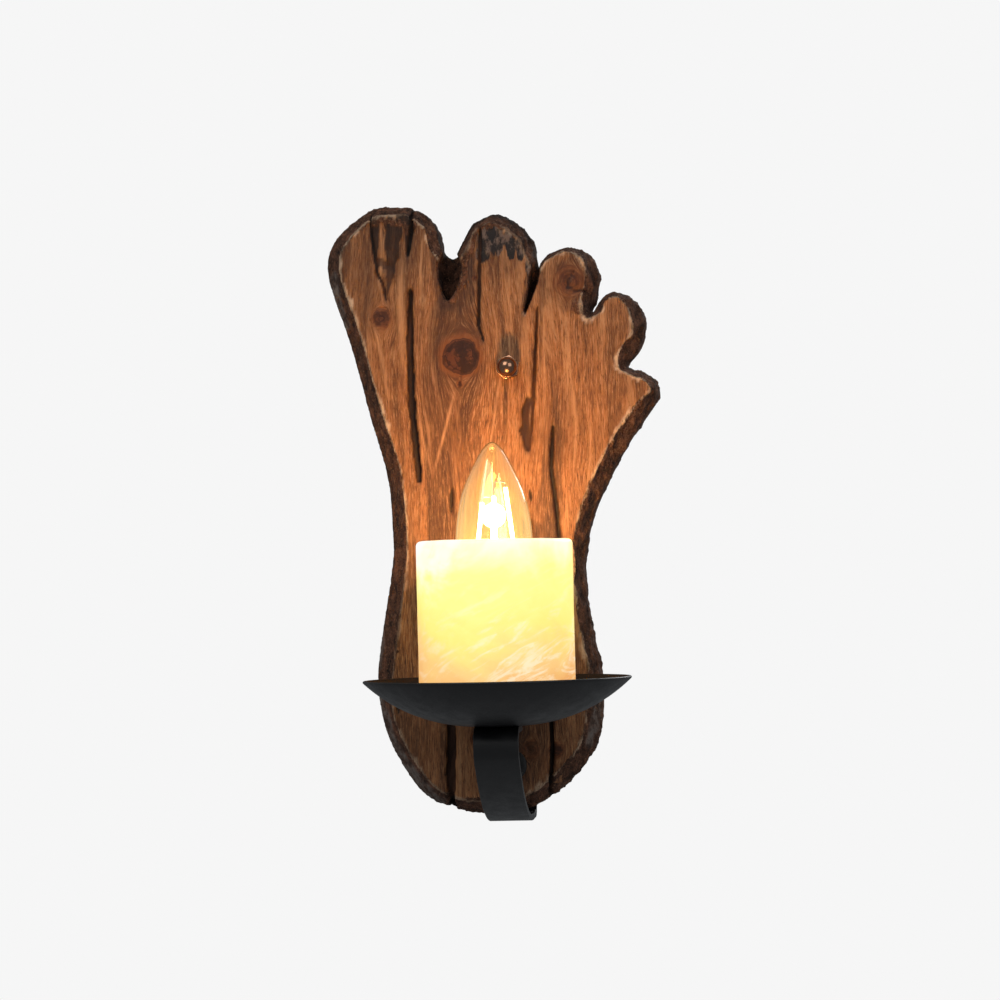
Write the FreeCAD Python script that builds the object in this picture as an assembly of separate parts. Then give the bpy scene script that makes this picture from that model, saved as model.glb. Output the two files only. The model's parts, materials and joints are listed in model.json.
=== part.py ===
"""Wall lamp: a candle cup on an iron saucer and arm, in front of a board cut as a bare foot.

Millimetres. The wall is the plane y = 0 and the lamp's front faces -Y. +Z is up. The origin is
the middle of the wall bracket. The board, the arm and the lamp are drawn about the lamp's own
middle plane, which lies bracket_offset to the left of the bracket's, and are moved there when
they are written.
"""
import FreeCAD
import Part
import math
import os

Vector = FreeCAD.Vector

# ---------------------------------------------------------------- driving dimensions
# board
board_thickness = 28.0
bevel_depth = 9.0
# The outline, clockwise from the big toe: across, up, and the bevel's width on the front there.
foot_outline = [
    (-82.2, 94.0, 7.0), (-82.6, 106.0, 7.0), (-78.5, 114.5, 6.5), (-69.5, 122.7, 5.5),
    (-57.5, 129.0, 5.5), (-47.5, 128.2, 4.5), (-42.3, 128.4, 4.5), (-34.7, 123.7, 5.0),
    (-29.7, 116.2, 4.5), (-28.2, 107.4, 4.0), (-24.6, 104.2, 4.0), (-20.7, 106.2, 3.5),
    # second toe, then the slit beside it
    (-15.5, 116.2, 3.5), (-8.7, 122.3, 4.0), (-2.0, 124.0, 4.5), (5.5, 120.5, 5.0),
    (12.2, 115.0, 5.0), (15.9, 107.3, 4.5), (16.4, 99.9, 3.0), (17.4, 97.4, 2.0),
    # third toe
    (18.7, 99.8, 2.0), (22.4, 103.7, 2.5), (28.5, 106.5, 2.5), (35.5, 107.0, 3.0),
    (41.6, 103.4, 4.5), (45.4, 96.6, 5.0), (45.6, 88.6, 5.0), (44.1, 82.0, 5.5),
    (41.6, 76.9, 4.5), (41.4, 74.9, 3.5), (43.1, 75.6, 3.0),
    # fourth toe
    (46.2, 80.5, 2.5), (50.0, 84.1, 2.5), (55.5, 85.0, 2.5), (61.8, 82.0, 4.0), (66.8, 75.5, 6.0),
    (67.2, 66.5, 6.0), (64.0, 57.3, 6.0), (58.4, 50.4, 5.0), (61.5, 48.2, 3.5),
    # little toe
    (67.5, 46.0, 3.0), (72.2, 41.3, 3.0), (73.0, 36.0, 3.5), (69.0, 28.9, 6.0),
    # outer side of the foot, down to the heel
    (60.4, 17.1, 7.0), (52.0, 3.0, 7.0), (43.0, -15.0, 6.5), (37.8, -32.0, 5.5),
    (36.2, -48.0, 4.5), (37.2, -63.0, 4.5), (40.0, -80.0, 4.5), (43.0, -95.0, 5.5),
    (43.4, -109.0, 7.0), (41.3, -124.0, 7.0), (35.2, -136.0, 7.0), (25.5, -146.5, 7.0),
    (13.5, -155.0, 6.5), (3.0, -158.8, 6.0), (-8.0, -159.6, 5.5), (-20.0, -158.9, 5.5),
    (-33.5, -155.2, 6.0),
    # inner side, up to the big toe
    (-42.5, -149.7, 7.0), (-51.0, -138.0, 7.0), (-58.0, -124.3, 7.0), (-62.2, -108.0, 7.0),
    (-62.7, -90.0, 8.5), (-60.0, -72.0, 8.5), (-56.5, -52.0, 8.0), (-54.3, -36.0, 8.0),
    (-54.6, -20.0, 8.0), (-56.2, 0.0, 8.0), (-60.3, 16.0, 7.5), (-64.8, 32.5, 7.0),
    (-69.2, 50.5, 7.0), (-74.0, 68.3, 7.0), (-78.5, 81.5, 7.0)]
# gouges cut into the front below the first two notches: outline and depth
first_gouge = [
    (-29.2, 102.0), (-28.6, 89.5), (-25.4, 82.4), (-21.0, 88.0), (-18.7, 100.5), (-24.0, 107.0)]
first_gouge_depth = 17.0
second_gouge = [(16.5, 100.5), (13.2, 90.0), (10.4, 74.0), (14.6, 82.5), (18.6, 97.5)]
second_gouge_depth = 12.0
wire_edge_points = 3

# wall bracket
bracket_width = 22.0
bracket_length = 130.0
bracket_thickness = 2.0
bracket_corner_radius = 4.4
bracket_offset = 3.0
stud_spacing = 100.0
stud_radius = 3.0
stud_clearance = 0.4
stud_in_dome = 8.0
slot_spacing = 60.0
slot_length = 20.0
slot_width = 5.0
locknut_flats = 10.0
locknut_height = 3.2
dome_nut_flats = 10.0
dome_nut_hexagon = 5.5
dome_nut_height = 12.0
dome_radius = 4.6
dome_nut_turn = 11.0
bracket_clearance = 1.5

# lamp axis and saucer
lamp_reach = 70.0
saucer_board_gap = 10.0
saucer_depth = 19.3
saucer_flat_radius = 9.5
saucer_thickness = 1.2
saucer_top_z = -96.1

# arm
arm_width = 20.0
arm_thickness = 3.0
arm_edge_radius = 0.4
arm_tail = 11.0
arm_front_reach = 9.0
arm_front_bend = 7.0
arm_front_lean = 50.0
arm_board_gap = 0.4
arm_back_bend = 5.0
arm_back_top_z = -143.0
arm_screw_spacing = 10.0
arm_screw_z = -151.0
arm_screw_radius = 1.75
arm_screw_head_radius = 3.3
arm_screw_length = 16.0

# nipple and what it clamps
nipple_radius = 5.0
nipple_bore_radius = 3.75
nipple_clearance = 0.2
nipple_below_nut = 2.0
nipple_terminal_gap = 2.15
tag_thickness = 0.8
tag_radius = 8.0
tag_neck = 9.0
tag_crimp = 4.0
tag_crimp_wall = 0.3
toothed_washer_thickness = 0.8
toothed_washer_radius = 8.5
nipple_nut_flats = 14.0
nipple_nut_height = 4.0
spacer_radius = 9.0
cup_washer_radius = 14.0
cup_washer_thickness = 1.2

# cup
cup_radius = 35.0
cup_wall = 5.0
cup_floor = 5.0
cup_top_z = -32.5
cup_edge_radius = 2.0
cup_foot_radius = 0.8
cup_seat_gap = 0.15

# lampholder
holder_radius = 13.5
holder_base_thickness = 1.5
holder_boss_radius = 7.5
holder_boss_height = 7.0
holder_body_top_z = -61.0
holder_bore_gap = 1.12
holder_shell_wall = 0.5
holder_floor = 3.0
holder_rim_radius = 1.0
shell_below_rim = 2.0
contact_width = 5.0
contact_thickness = 0.5
contact_gap = 0.3
terminal_size = 3.4
terminal_shift = 0.2
terminal_height = 5.0
terminal_screw_radius = 1.0
terminal_screw_head_radius = 1.6
terminal_screw_head = 1.2

# bulb
bulb_cap_radius = 6.9
thread_clearance = 0.08
bulb_cap_wall = 0.4
bulb_length = 98.0
bulb_contact_radius = 2.4
bulb_contact_height = 1.6
bulb_contact_margin = 0.8
bulb_insulator_height = 3.0
bulb_insulator_plug = 1.5
bulb_cap_height = 21.5
bulb_tip_z = 11.6
bulb_glass_wall = 0.8
bulb_neck_gap = 0.2
bulb_neck_radius = bulb_cap_radius - bulb_cap_wall - bulb_neck_gap
# The envelope's outer profile above the cap: radius, and height below the tip.
bulb_profile = [
    (bulb_neck_radius, 74.5), (bulb_neck_radius + 0.1, 72.0), (7.8, 69.0), (11.0, 65.0), (14.6, 59.0),
    (16.8, 53.0), (17.4, 47.0), (17.2, 41.0), (16.5, 34.0), (15.2, 26.8), (13.0, 19.7), (9.8, 12.5),
    (6.0, 5.4), (3.9, 2.4), (2.0, 0.7)]
stem_radius = 3.6
stem_gap = 0.25
stem_rim = 0.8
stem_taper = 4.0
stem_neck_radius = 2.2
stem_top_z = -44.0
filament_radius = 0.9
filament_length = 26.0
filament_wire_radius = 0.3
filament_wire_gap = 0.3
filament_wire_rise = 2.5
foot_wire_bend = 1.0
top_wire_bend = 1.2
# Each glowing rod: its bearing round the axis in degrees, its top's height, and its radius there.
filament_rods = [(8.0, -9.0, 5.6), (100.0, -15.5, 4.2), (188.0, -15.5, 5.0), (280.0, -13.0, 3.6)]
filament_flare = 3.2

# wiring
lead_radius = 1.1
lead_spacing = 3.2
lead_drop_z = -137.0
lead_bend = 11.0
lead_plane_y = -9.0
lead_channel_x = 12.5
lead_channel_depth = 20.0
lead_channel_width = 10.0
grommet_radius = 6.0
grommet_bore_radius = 3.6
grommet_flange_radius = 7.5
grommet_flange = 1.5
grommet_bore_lift = 0.8
lead_turn_bend = 6.5
lead_jog = 22.0
lead_jog_bend = 12.0
lead_fan_low_z = -37.5
lead_fan_top_z = -14.5
lead_fan_bend = 8.0
earth_lift = 2.3
earth_turn_bend = 5.5
earth_run = 14.0
pocket_width = 44.0
pocket_low_z = -42.0
pocket_top_z = 36.0
pocket_depth = 20.0
block_width = 28.0
block_height = 16.0
block_depth = 12.0
pole_spacing = 8.0
pole_width = 4.6
pole_height = 10.0
pole_depth = 5.0
pole_screw_sink = 1.0
block_screw_radius = 1.5
block_screw_grip = 5.0
block_screw_head_radius = 2.8
block_screw_head = 1.8

# ---------------------------------------------------------------- sizes that follow
front_y = -board_thickness
bevel_back_y = front_y + bevel_depth
lamp_y = front_y - lamp_reach
saucer_radius = lamp_reach - saucer_board_gap
saucer_bottom_z = saucer_top_z - saucer_depth
saucer_floor_z = saucer_bottom_z + saucer_thickness
saucer_arc_radius = ((saucer_radius - saucer_flat_radius) ** 2 + saucer_depth ** 2) / (2 * saucer_depth)
saucer_arc_z = saucer_bottom_z + saucer_arc_radius
arm_tab_z = saucer_bottom_z - arm_thickness
tag_z = arm_tab_z - tag_thickness
toothed_washer_z = tag_z - toothed_washer_thickness
nipple_nut_z = toothed_washer_z - nipple_nut_height
nipple_bottom_z = nipple_nut_z - nipple_below_nut
cup_inner_arc = saucer_arc_radius - saucer_thickness
cup_seat_reach = cup_radius - saucer_flat_radius
cup_bottom_z = saucer_arc_z - math.sqrt(cup_inner_arc ** 2 - cup_seat_reach ** 2) + cup_seat_gap
cup_floor_z = cup_bottom_z + cup_floor
cup_washer_z = cup_floor_z + cup_washer_thickness
holder_plate_z = cup_washer_z + holder_base_thickness
recess_depth = bracket_thickness + locknut_height
bulb_bottom_z = bulb_tip_z - bulb_length
cap_rim_z = bulb_bottom_z + bulb_contact_height + bulb_insulator_height + bulb_cap_height
shell_radius = bulb_cap_radius + thread_clearance
holder_bore_radius = shell_radius + holder_shell_wall + holder_bore_gap
holder_floor_z = bulb_bottom_z - contact_gap - contact_thickness - holder_floor
terminal_z = holder_floor_z - terminal_height
nipple_top_z = terminal_z - nipple_terminal_gap
lamp = Vector(0, lamp_y, 0)
over = 1.0
up = Vector(0, 0, 1)
back = Vector(0, 1, 0)


# ---------------------------------------------------------------- helpers
def rod(radius, start, end):
    """A round bar between two points."""
    along = end - start
    return Part.makeCylinder(radius, along.Length, start, along)


def tube(outer, inner, start, end):
    """A round bar with a bore right through."""
    return rod(outer, start, end).cut(rod(inner, start, end))


def box(low, high):
    """A block between its lowest and highest corners."""
    size = Vector(*high) - Vector(*low)
    return Part.makeBox(size.x, size.y, size.z, Vector(*low))


def hexagon(flats, start, direction, height, turn=0.0):
    """A hexagonal prism of the given width across flats, with a corner up when turn is 0."""
    corner_radius = flats / math.sqrt(3)
    corners = [Vector(corner_radius * math.sin(math.radians(60 * k + turn)),
                      corner_radius * math.cos(math.radians(60 * k + turn)), 0) for k in range(7)]
    prism = Part.Face(Part.makePolygon(corners)).extrude(Vector(0, 0, height))
    prism.Placement = FreeCAD.Placement(start, FreeCAD.Rotation(up, direction))
    return prism


def lathe(wire_edges, centre=lamp):
    """A solid turned about the vertical line through centre, from edges in the x-z plane."""
    face = Part.Face(Part.Wire(wire_edges))
    face.translate(Vector(0, centre.y, 0))
    return face.revolve(centre, up, 360)


def at(radius, z):
    """A point of a turned profile."""
    return Vector(radius, 0, z)


def line(start, end):
    return Part.LineSegment(start, end).toShape()


def path_with_bends(points, radii):
    """Straight runs joined by tangent arcs, one radius for each inner point."""
    edges = []
    start = points[0]
    for corner, after, radius in zip(points[1:-1], points[2:], radii):
        before = (start - corner).normalize()
        ahead = (after - corner).normalize()
        half = before.getAngle(ahead) / 2
        setback = radius / math.tan(half)
        first = corner + before * setback
        last = corner + ahead * setback
        middle_way = (before + ahead).normalize()
        middle = corner + middle_way * (radius / math.sin(half) - radius)
        edges.append(line(start, first))
        edges.append(Part.Arc(first, middle, last).toShape())
        start = last
    edges.append(line(start, points[-1]))
    return Part.Wire(edges)


def lead(name, points, radii, radius=lead_radius):
    """A round lead along a path, with a check of its volume and a note of its tightest bend."""
    path = path_with_bends(points, radii)
    along = (points[1] - points[0]).normalize()
    section = Part.Wire([Part.makeCircle(radius, points[0], along)])
    solid = path.makePipeShell([section], True, True)
    expected = math.pi * radius ** 2 * path.Length
    print(name, "length", round(path.Length, 1), "tightest bend", min(radii),
          "volume over section x length", round(solid.Volume / expected, 4))
    return solid


def spline_places(points):
    """Where each point lies along a closed curve, spaced so that tight turns don't loop."""
    places = [0.0]
    for here, after in zip(points, points[1:] + points[:1]):
        places.append(places[-1] + math.sqrt(math.hypot(after[0] - here[0], after[1] - here[1])))
    return places


def spline(points, places=None):
    """A closed smooth curve through points in the x-z plane."""
    curve = Part.BSplineCurve()
    curve.interpolate(Points=[Vector(x, 0, z) for x, z in points],
                      Parameters=places or spline_places(points), PeriodicFlag=True)
    return curve


def closed_wire(curve, y):
    """A closed curve as a wire of several edges, each a few of the curve's points long."""
    knots = curve.getKnots()
    ends = knots[:-1:wire_edge_points] + knots[-1:]
    wire = Part.Wire([curve.toShape(first, last) for first, last in zip(ends, ends[1:])])
    wire.translate(Vector(0, y, 0))
    return wire


def export(node, *solids, offset=-bracket_offset):
    """One file for each node, moved sideways by offset; like pieces share a node as separate solids."""
    shape = solids[0] if len(solids) == 1 else Part.makeCompound(list(solids))
    shape.translate(Vector(offset, 0, 0))
    for solid in shape.Solids:
        if not solid.isValid():
            print("not valid:", node)
    shape.exportStep("parts/" + node + ".step")


# ---------------------------------------------------------------- board
def bevel_curves():
    """The board's outline and the edge of its flat front, which the bevel's width sets inwards."""
    outer_points = [(x, z) for x, z, width in foot_outline]
    places = spline_places(outer_points)
    outer = spline(outer_points, places)
    inner_points = []
    for (x, z, width), place in zip(foot_outline, places):
        tangent = outer.tangent(place)[0]
        inner_points.append((x + width * tangent.z, z - width * tangent.x))
    return outer, spline(inner_points, places)


def foot_board():
    outer, inner = bevel_curves()
    slab = Part.Face(closed_wire(outer, bevel_back_y)).extrude(back * -bevel_back_y)
    bevel = Part.makeLoft([closed_wire(outer, bevel_back_y), closed_wire(inner, front_y)], True, True)
    board = slab.fuse(bevel)
    for outline, depth in ((first_gouge, first_gouge_depth), (second_gouge, second_gouge_depth)):
        mouth = Part.Face(closed_wire(spline(outline), front_y - over))
        board = board.cut(mouth.extrude(back * (depth + over)))
    # recess for the bracket, pocket for the terminal block, channel for the leads
    recess_x = bracket_width / 2 + bracket_clearance
    recess_z = bracket_length / 2 + bracket_clearance
    board = board.cut(box((bracket_offset - recess_x, -recess_depth, -recess_z),
                          (bracket_offset + recess_x, over, recess_z)))
    board = board.cut(box((-pocket_width / 2, -pocket_depth, pocket_low_z),
                          (pocket_width / 2, over, pocket_top_z)))
    channel_half = lead_channel_width / 2
    channel_low = lead_drop_z - channel_half
    channel_turn = lead_drop_z + lead_bend + lead_channel_width
    board = board.cut(box((-channel_half, -lead_channel_depth, channel_low),
                          (lead_channel_x + channel_half, over, channel_turn)))
    board = board.cut(box((lead_channel_x - channel_half, -lead_channel_depth, channel_low),
                          (lead_channel_x + channel_half, over, 0)))
    board = board.cut(rod(grommet_radius, Vector(0, front_y - over, lead_drop_z), Vector(0, 0, lead_drop_z)))
    for z in stud_heights():
        board = board.cut(rod(stud_radius + stud_clearance, Vector(bracket_offset, front_y - over, z),
                              Vector(bracket_offset, over, z)))
    # recess for the arm's back leg, open at the heel
    half = arm_width / 2 + arm_board_gap
    board = board.cut(box((-half, -arm_thickness, arm_low_z() - over),
                          (half, over, arm_back_top_z + arm_board_gap)))
    board = board.cut(arm_underpass())
    for x in arm_screw_places():
        board = board.cut(rod(arm_screw_radius, Vector(x, -arm_screw_length, arm_screw_z),
                              Vector(x, over, arm_screw_z)))
    board = board.cut(rod(block_screw_radius, block_screw_tip(), Vector(block_screw_x(), 0, 0)))
    return board


# ---------------------------------------------------------------- bracket and its fasteners
def stud_heights():
    return (stud_spacing / 2, -stud_spacing / 2)


def slot(z):
    """A vertical slot with round ends through the bracket."""
    half = (slot_length - slot_width) / 2
    cutter = box((-slot_width / 2, -bracket_thickness - over, z - half), (slot_width / 2, over, z + half))
    for end in (z - half, z + half):
        start = Vector(0, -bracket_thickness - over, end)
        cutter = cutter.fuse(rod(slot_width / 2, start, Vector(0, over, end)))
    return cutter


def wall_bracket():
    strip = box((-bracket_width / 2, -bracket_thickness, -bracket_length / 2),
                (bracket_width / 2, 0, bracket_length / 2))
    corners = [edge for edge in strip.Edges if edge.BoundBox.YLength > bracket_thickness / 2]
    strip = strip.makeFillet(bracket_corner_radius, corners)
    for z in (slot_spacing / 2, -slot_spacing / 2):
        strip = strip.cut(slot(z))
    for z in stud_heights():
        strip = strip.cut(rod(stud_radius, Vector(0, -bracket_thickness - over, z), Vector(0, over, z)))
    return strip


def mounting_stud(z):
    return rod(stud_radius, Vector(0, front_y - stud_in_dome, z), Vector(0, 0, z))


def stud_locknut(z):
    start = Vector(0, -bracket_thickness - locknut_height, z)
    nut = hexagon(locknut_flats, start, back, locknut_height)
    return nut.cut(rod(stud_radius, start, start + back * locknut_height))


def dome_nut(z):
    """A hexagon with a neck and a dome, blind inside."""
    seat = Vector(0, front_y, z)
    nut = hexagon(dome_nut_flats, seat, -back, dome_nut_hexagon, dome_nut_turn)
    centre = seat - back * (dome_nut_height - dome_radius)
    nut = nut.fuse(rod(dome_radius, seat, centre)).fuse(Part.makeSphere(dome_radius, centre))
    return nut.cut(rod(stud_radius, seat + back, seat - back * stud_in_dome))


# ---------------------------------------------------------------- arm
def arm_low_z():
    """The underside of the arm where it passes below the heel."""
    heel_z = min(z for x, z, width in foot_outline if abs(x) < arm_width)
    return heel_z - arm_board_gap - arm_thickness


def arm_line(offset):
    """The side profile of the bar, offset from its middle, as edges in the y-z plane."""
    def edge_points(centre, radius, first, last):
        angles = [math.radians(a) for a in (first, (first + last) / 2, last)]
        return [Vector(0, centre[0] + radius * math.sin(a), centre[1] - radius * math.cos(a)) for a in angles]

    half = arm_thickness / 2
    tab_z = arm_tab_z + half
    low_z = arm_low_z() + half
    bend_y = lamp_y - arm_front_reach
    lean = math.radians(arm_front_lean)
    # The angle is that of the bar's outward normal from straight down, towards the wall.
    front = (bend_y, tab_z - arm_front_bend)
    start_z = front[1] - arm_front_bend * math.sin(lean)
    start_y = bend_y - arm_front_bend * math.cos(lean)
    sweep = (start_z - low_z) / (1 - math.sin(lean))
    belly = (start_y + sweep * math.cos(lean), low_z + sweep)
    rear = (-half - arm_back_bend, low_z + arm_back_bend)
    tail = Vector(0, lamp_y + arm_tail, tab_z + offset)
    first_arc = edge_points(front, arm_front_bend + offset, -180, -90 + arm_front_lean)
    second_arc = edge_points(belly, sweep + offset, -90 + arm_front_lean, 0)
    third_arc = edge_points(rear, arm_back_bend + offset, 0, 90)
    top = Vector(0, -half + offset, arm_back_top_z)
    edges = [line(tail, first_arc[0])]
    for arc, after in ((first_arc, None), (second_arc, third_arc[0]), (third_arc, top)):
        edges.append(Part.Arc(*arc).toShape())
        if after is not None:
            edges.append(line(arc[2], after))
    return edges, tail, top


def arm_profile(outward, inward):
    """A face between two offsets of the bar's middle line."""
    outer, outer_tail, outer_top = arm_line(outward)
    inner, inner_tail, inner_top = arm_line(inward)
    edges = outer + [line(outer_top, inner_top)] + inner + [line(inner_tail, outer_tail)]
    return Part.Face(Part.Wire(Part.__sortEdges__(edges)))


def arm_underpass():
    """What the heel gives up so that the bar's rear bend lies clear of the wood."""
    low_z = arm_low_z()
    high_z = low_z + arm_thickness + arm_back_bend
    half = arm_width / 2 + arm_board_gap
    return box((-half, -arm_thickness - arm_back_bend, low_z), (half, 1, high_z))


def arm_screw_places():
    return (-arm_screw_spacing / 2, arm_screw_spacing / 2)


def screw_head(x):
    """A countersunk head whose face is flush with the wall side of the arm."""
    depth = arm_screw_head_radius - arm_screw_radius
    return Part.makeCone(arm_screw_head_radius, arm_screw_radius, depth, Vector(x, 0, arm_screw_z), -back)


def arm():
    half = arm_thickness / 2
    bar = arm_profile(half, -half).extrude(Vector(arm_width, 0, 0))
    bar.translate(Vector(-arm_width / 2, 0, 0))
    long_edges = [edge for edge in bar.Edges
                  if edge.BoundBox.XLength < 0.001 and edge.Length > arm_thickness * 1.1]
    bar = bar.makeFillet(arm_edge_radius, long_edges)
    hole = nipple_radius + nipple_clearance
    bar = bar.cut(rod(hole, lamp + up * (arm_tab_z - over), lamp + up * (saucer_bottom_z + over)))
    for x in arm_screw_places():
        bar = bar.cut(rod(arm_screw_radius, Vector(x, -arm_thickness - over, arm_screw_z),
                          Vector(x, over, arm_screw_z)))
        bar = bar.cut(screw_head(x))
    return bar


def arm_screw(x):
    shank = rod(arm_screw_radius, Vector(x, -arm_screw_length, arm_screw_z), Vector(x, 0, arm_screw_z))
    return shank.fuse(screw_head(x))


# ---------------------------------------------------------------- saucer, nipple and stack
def saucer():
    def arc(radius, last_x):
        """Part of the dish's curve, from the flat to a distance from the axis."""
        def height(x):
            return saucer_arc_z - math.sqrt(radius ** 2 - (x - saucer_flat_radius) ** 2)
        middle_x = (saucer_flat_radius + last_x) / 2
        return [at(x, height(x)) for x in (saucer_flat_radius, middle_x, last_x)]

    lean = math.asin((saucer_radius - saucer_flat_radius) / saucer_arc_radius)
    outer = arc(saucer_arc_radius, saucer_radius)
    inner = arc(cup_inner_arc, saucer_radius - saucer_thickness * math.sin(lean))
    hole = nipple_radius + nipple_clearance
    edges = [line(at(hole, saucer_bottom_z), outer[0]), Part.Arc(*outer).toShape(), line(outer[2], inner[2]),
             Part.Arc(*inner).toShape(), line(inner[0], at(hole, saucer_floor_z)),
             line(at(hole, saucer_floor_z), at(hole, saucer_bottom_z))]
    return lathe(edges)


def ring(outer, inner, low_z, high_z):
    """A plain ring on the lamp's axis."""
    return tube(outer, inner, lamp + up * low_z, lamp + up * high_z)


def nipple_nut():
    start = lamp + up * nipple_nut_z
    nut = hexagon(nipple_nut_flats, start, up, nipple_nut_height)
    return nut.cut(rod(nipple_radius, start, start + up * nipple_nut_height))


def earth_tag():
    """A ring under the arm with a neck towards the wall that the earth lead meets."""
    tag = ring(tag_radius, nipple_radius + nipple_clearance, tag_z, arm_tab_z)
    neck_end = lamp_y + tag_radius + tag_neck
    middle_z = tag_z + tag_thickness / 2
    bar = box((-lead_radius, lamp_y + tag_radius - over, tag_z),
              (lead_radius, neck_end - tag_crimp, arm_tab_z))
    crimp = rod(lead_radius + tag_crimp_wall, Vector(0, neck_end - tag_crimp, middle_z),
                Vector(0, neck_end, middle_z))
    return tag.fuse(bar).fuse(crimp)


# ---------------------------------------------------------------- cup
def candle_cup():
    outer = ring(cup_radius, nipple_radius + nipple_clearance, cup_bottom_z, cup_top_z)
    hollow = rod(cup_radius - cup_wall, lamp + up * cup_floor_z, lamp + up * (cup_top_z + over))
    cup = outer.cut(hollow)

    def circles(z, radius):
        return [edge for edge in cup.Edges if abs(edge.BoundBox.ZMin - z) < 0.01
                and edge.BoundBox.ZLength < 0.01 and abs(edge.BoundBox.XLength / 2 - radius) < 0.1]
    rims = circles(cup_top_z, cup_radius) + circles(cup_top_z, cup_radius - cup_wall)
    cup = cup.makeFillet(cup_edge_radius, rims)
    return cup.makeFillet(cup_foot_radius, circles(cup_bottom_z, cup_radius))


# ---------------------------------------------------------------- lampholder
def holder_base():
    plate = ring(holder_radius, nipple_radius, cup_washer_z, holder_plate_z)
    boss = ring(holder_boss_radius, nipple_radius, cup_washer_z, cup_washer_z + holder_boss_height)
    return plate.fuse(boss)


def holder_body():
    """A ceramic tube with a floor that carries the contact and the terminals."""
    body = rod(holder_radius, lamp + up * holder_plate_z, lamp + up * holder_body_top_z)
    body = body.cut(rod(holder_bore_radius, lamp + up * (holder_floor_z + holder_floor), lamp + up * 0))
    body = body.cut(rod(holder_bore_radius, lamp + up * (holder_plate_z - over), lamp + up * holder_floor_z))
    rims = [edge for edge in body.Edges if abs(edge.BoundBox.ZMin - holder_body_top_z) < 0.01
            and edge.BoundBox.ZLength < 0.01 and edge.BoundBox.XLength / 2 > holder_bore_radius]
    body = body.makeFillet(holder_rim_radius, rims)
    for x in lead_places():
        start = Vector(x, lamp_y, holder_floor_z - over)
        body = body.cut(rod(terminal_screw_radius, start, start + up * (holder_floor + 2 * over)))
    return body


def holder_shell():
    """The threaded shell, which stands on the ceramic floor."""
    low_z = holder_floor_z + holder_floor
    return ring(shell_radius + holder_shell_wall, shell_radius, low_z, holder_body_top_z - shell_below_rim)


def holder_contact():
    """A spring tongue, riveted to the floor under the bulb's contact."""
    low_z = holder_floor_z + holder_floor
    half = contact_width / 2
    return box((-half, lamp_y - half, low_z), (half, lamp_y + half, low_z + contact_thickness))


def lead_places():
    return (-lead_spacing / 2, lead_spacing / 2)


def terminal(x):
    """A brass block under the ceramic floor, over its lead."""
    side = math.copysign(1, x)
    inner = x - side * (terminal_size / 2 - terminal_shift)
    low = min(inner, inner + side * terminal_size)
    block = box((low, lamp_y - terminal_size / 2, terminal_z),
                (low + terminal_size, lamp_y + terminal_size / 2, holder_floor_z))
    return block.cut(rod(terminal_screw_radius, *terminal_screw_ends(x)))


def terminal_screw_ends(x):
    """The middle of a terminal's front face, and the end of its screw."""
    side = math.copysign(1, x)
    middle_x = x + side * terminal_shift
    z = (terminal_z + holder_floor_z) / 2
    return Vector(middle_x, lamp_y - terminal_size / 2, z), Vector(middle_x, lamp_y + terminal_size / 4, z)


def terminal_fixing(x):
    """The screw of one terminal, driven from the front."""
    face, end = terminal_screw_ends(x)
    head = rod(terminal_screw_head_radius, face - back * terminal_screw_head, face)
    return rod(terminal_screw_radius, face, end).fuse(head)


# ---------------------------------------------------------------- bulb
def bulb_glass():
    """A thin candle-shaped envelope, open at the neck."""
    def wall(inset):
        """The profile moved inwards, mirrored past the tip so that the tip is round."""
        half = []
        for radius, below in bulb_profile:
            share = below / bulb_profile[0][1]
            half.append(at(radius - inset, bulb_tip_z - below - inset * (1 - share)))
        tip = at(0, bulb_tip_z - inset)
        mirrored = [Vector(-point.x, 0, point.z) for point in reversed(half)]
        curve = Part.BSplineCurve()
        curve.interpolate(Points=half + [tip] + mirrored)
        curve.segment(curve.FirstParameter, curve.parameter(tip))
        return curve.toShape(), half[0], tip

    outer_edge, outer_foot, outer_tip = wall(0.0)
    inner_edge, inner_foot, inner_tip = wall(bulb_glass_wall)
    return lathe([outer_edge, line(outer_tip, inner_tip), inner_edge, line(inner_foot, outer_foot)])


def bulb_stem():
    """A glass tube flared to the neck and drawn in at its top."""
    foot_z = bulb_tip_z - bulb_profile[0][1]
    flare = bulb_neck_radius - bulb_glass_wall - stem_gap
    edges = [line(at(0, foot_z), at(flare, foot_z)), line(at(flare, foot_z), at(flare, foot_z + stem_rim)),
             line(at(flare, foot_z + stem_rim), at(stem_radius, foot_z + stem_taper)),
             line(at(stem_radius, foot_z + stem_taper), at(stem_radius, stem_top_z - stem_taper)),
             line(at(stem_radius, stem_top_z - stem_taper), at(stem_neck_radius, stem_top_z)),
             line(at(stem_neck_radius, stem_top_z), at(0, stem_top_z)),
             line(at(0, stem_top_z), at(0, foot_z))]
    return lathe(edges)


def filament_ends(rod_place):
    """The lower and upper end of one glowing rod, which leans in towards its top."""
    bearing, top_z, top_radius = rod_place
    outward = Vector(math.cos(math.radians(bearing)), math.sin(math.radians(bearing)), 0)
    top = lamp + outward * top_radius + up * top_z
    foot = lamp + outward * (top_radius + filament_flare) + up * (top_z - filament_length)
    return foot, top, outward


def filament(rod_place):
    foot, top, outward = filament_ends(rod_place)
    return rod(filament_radius, foot, top)


def filament_foot_wire(rod_place):
    """A wire from just above the stem, out and up to the foot of one rod."""
    foot, top, outward = filament_ends(rod_place)
    level = stem_top_z + filament_wire_gap + filament_wire_radius
    start = lamp + outward * stem_neck_radius / 2 + up * level
    return lead("foot wire", [start, Vector(foot.x, foot.y, level), foot], [foot_wire_bend],
                filament_wire_radius)


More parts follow.
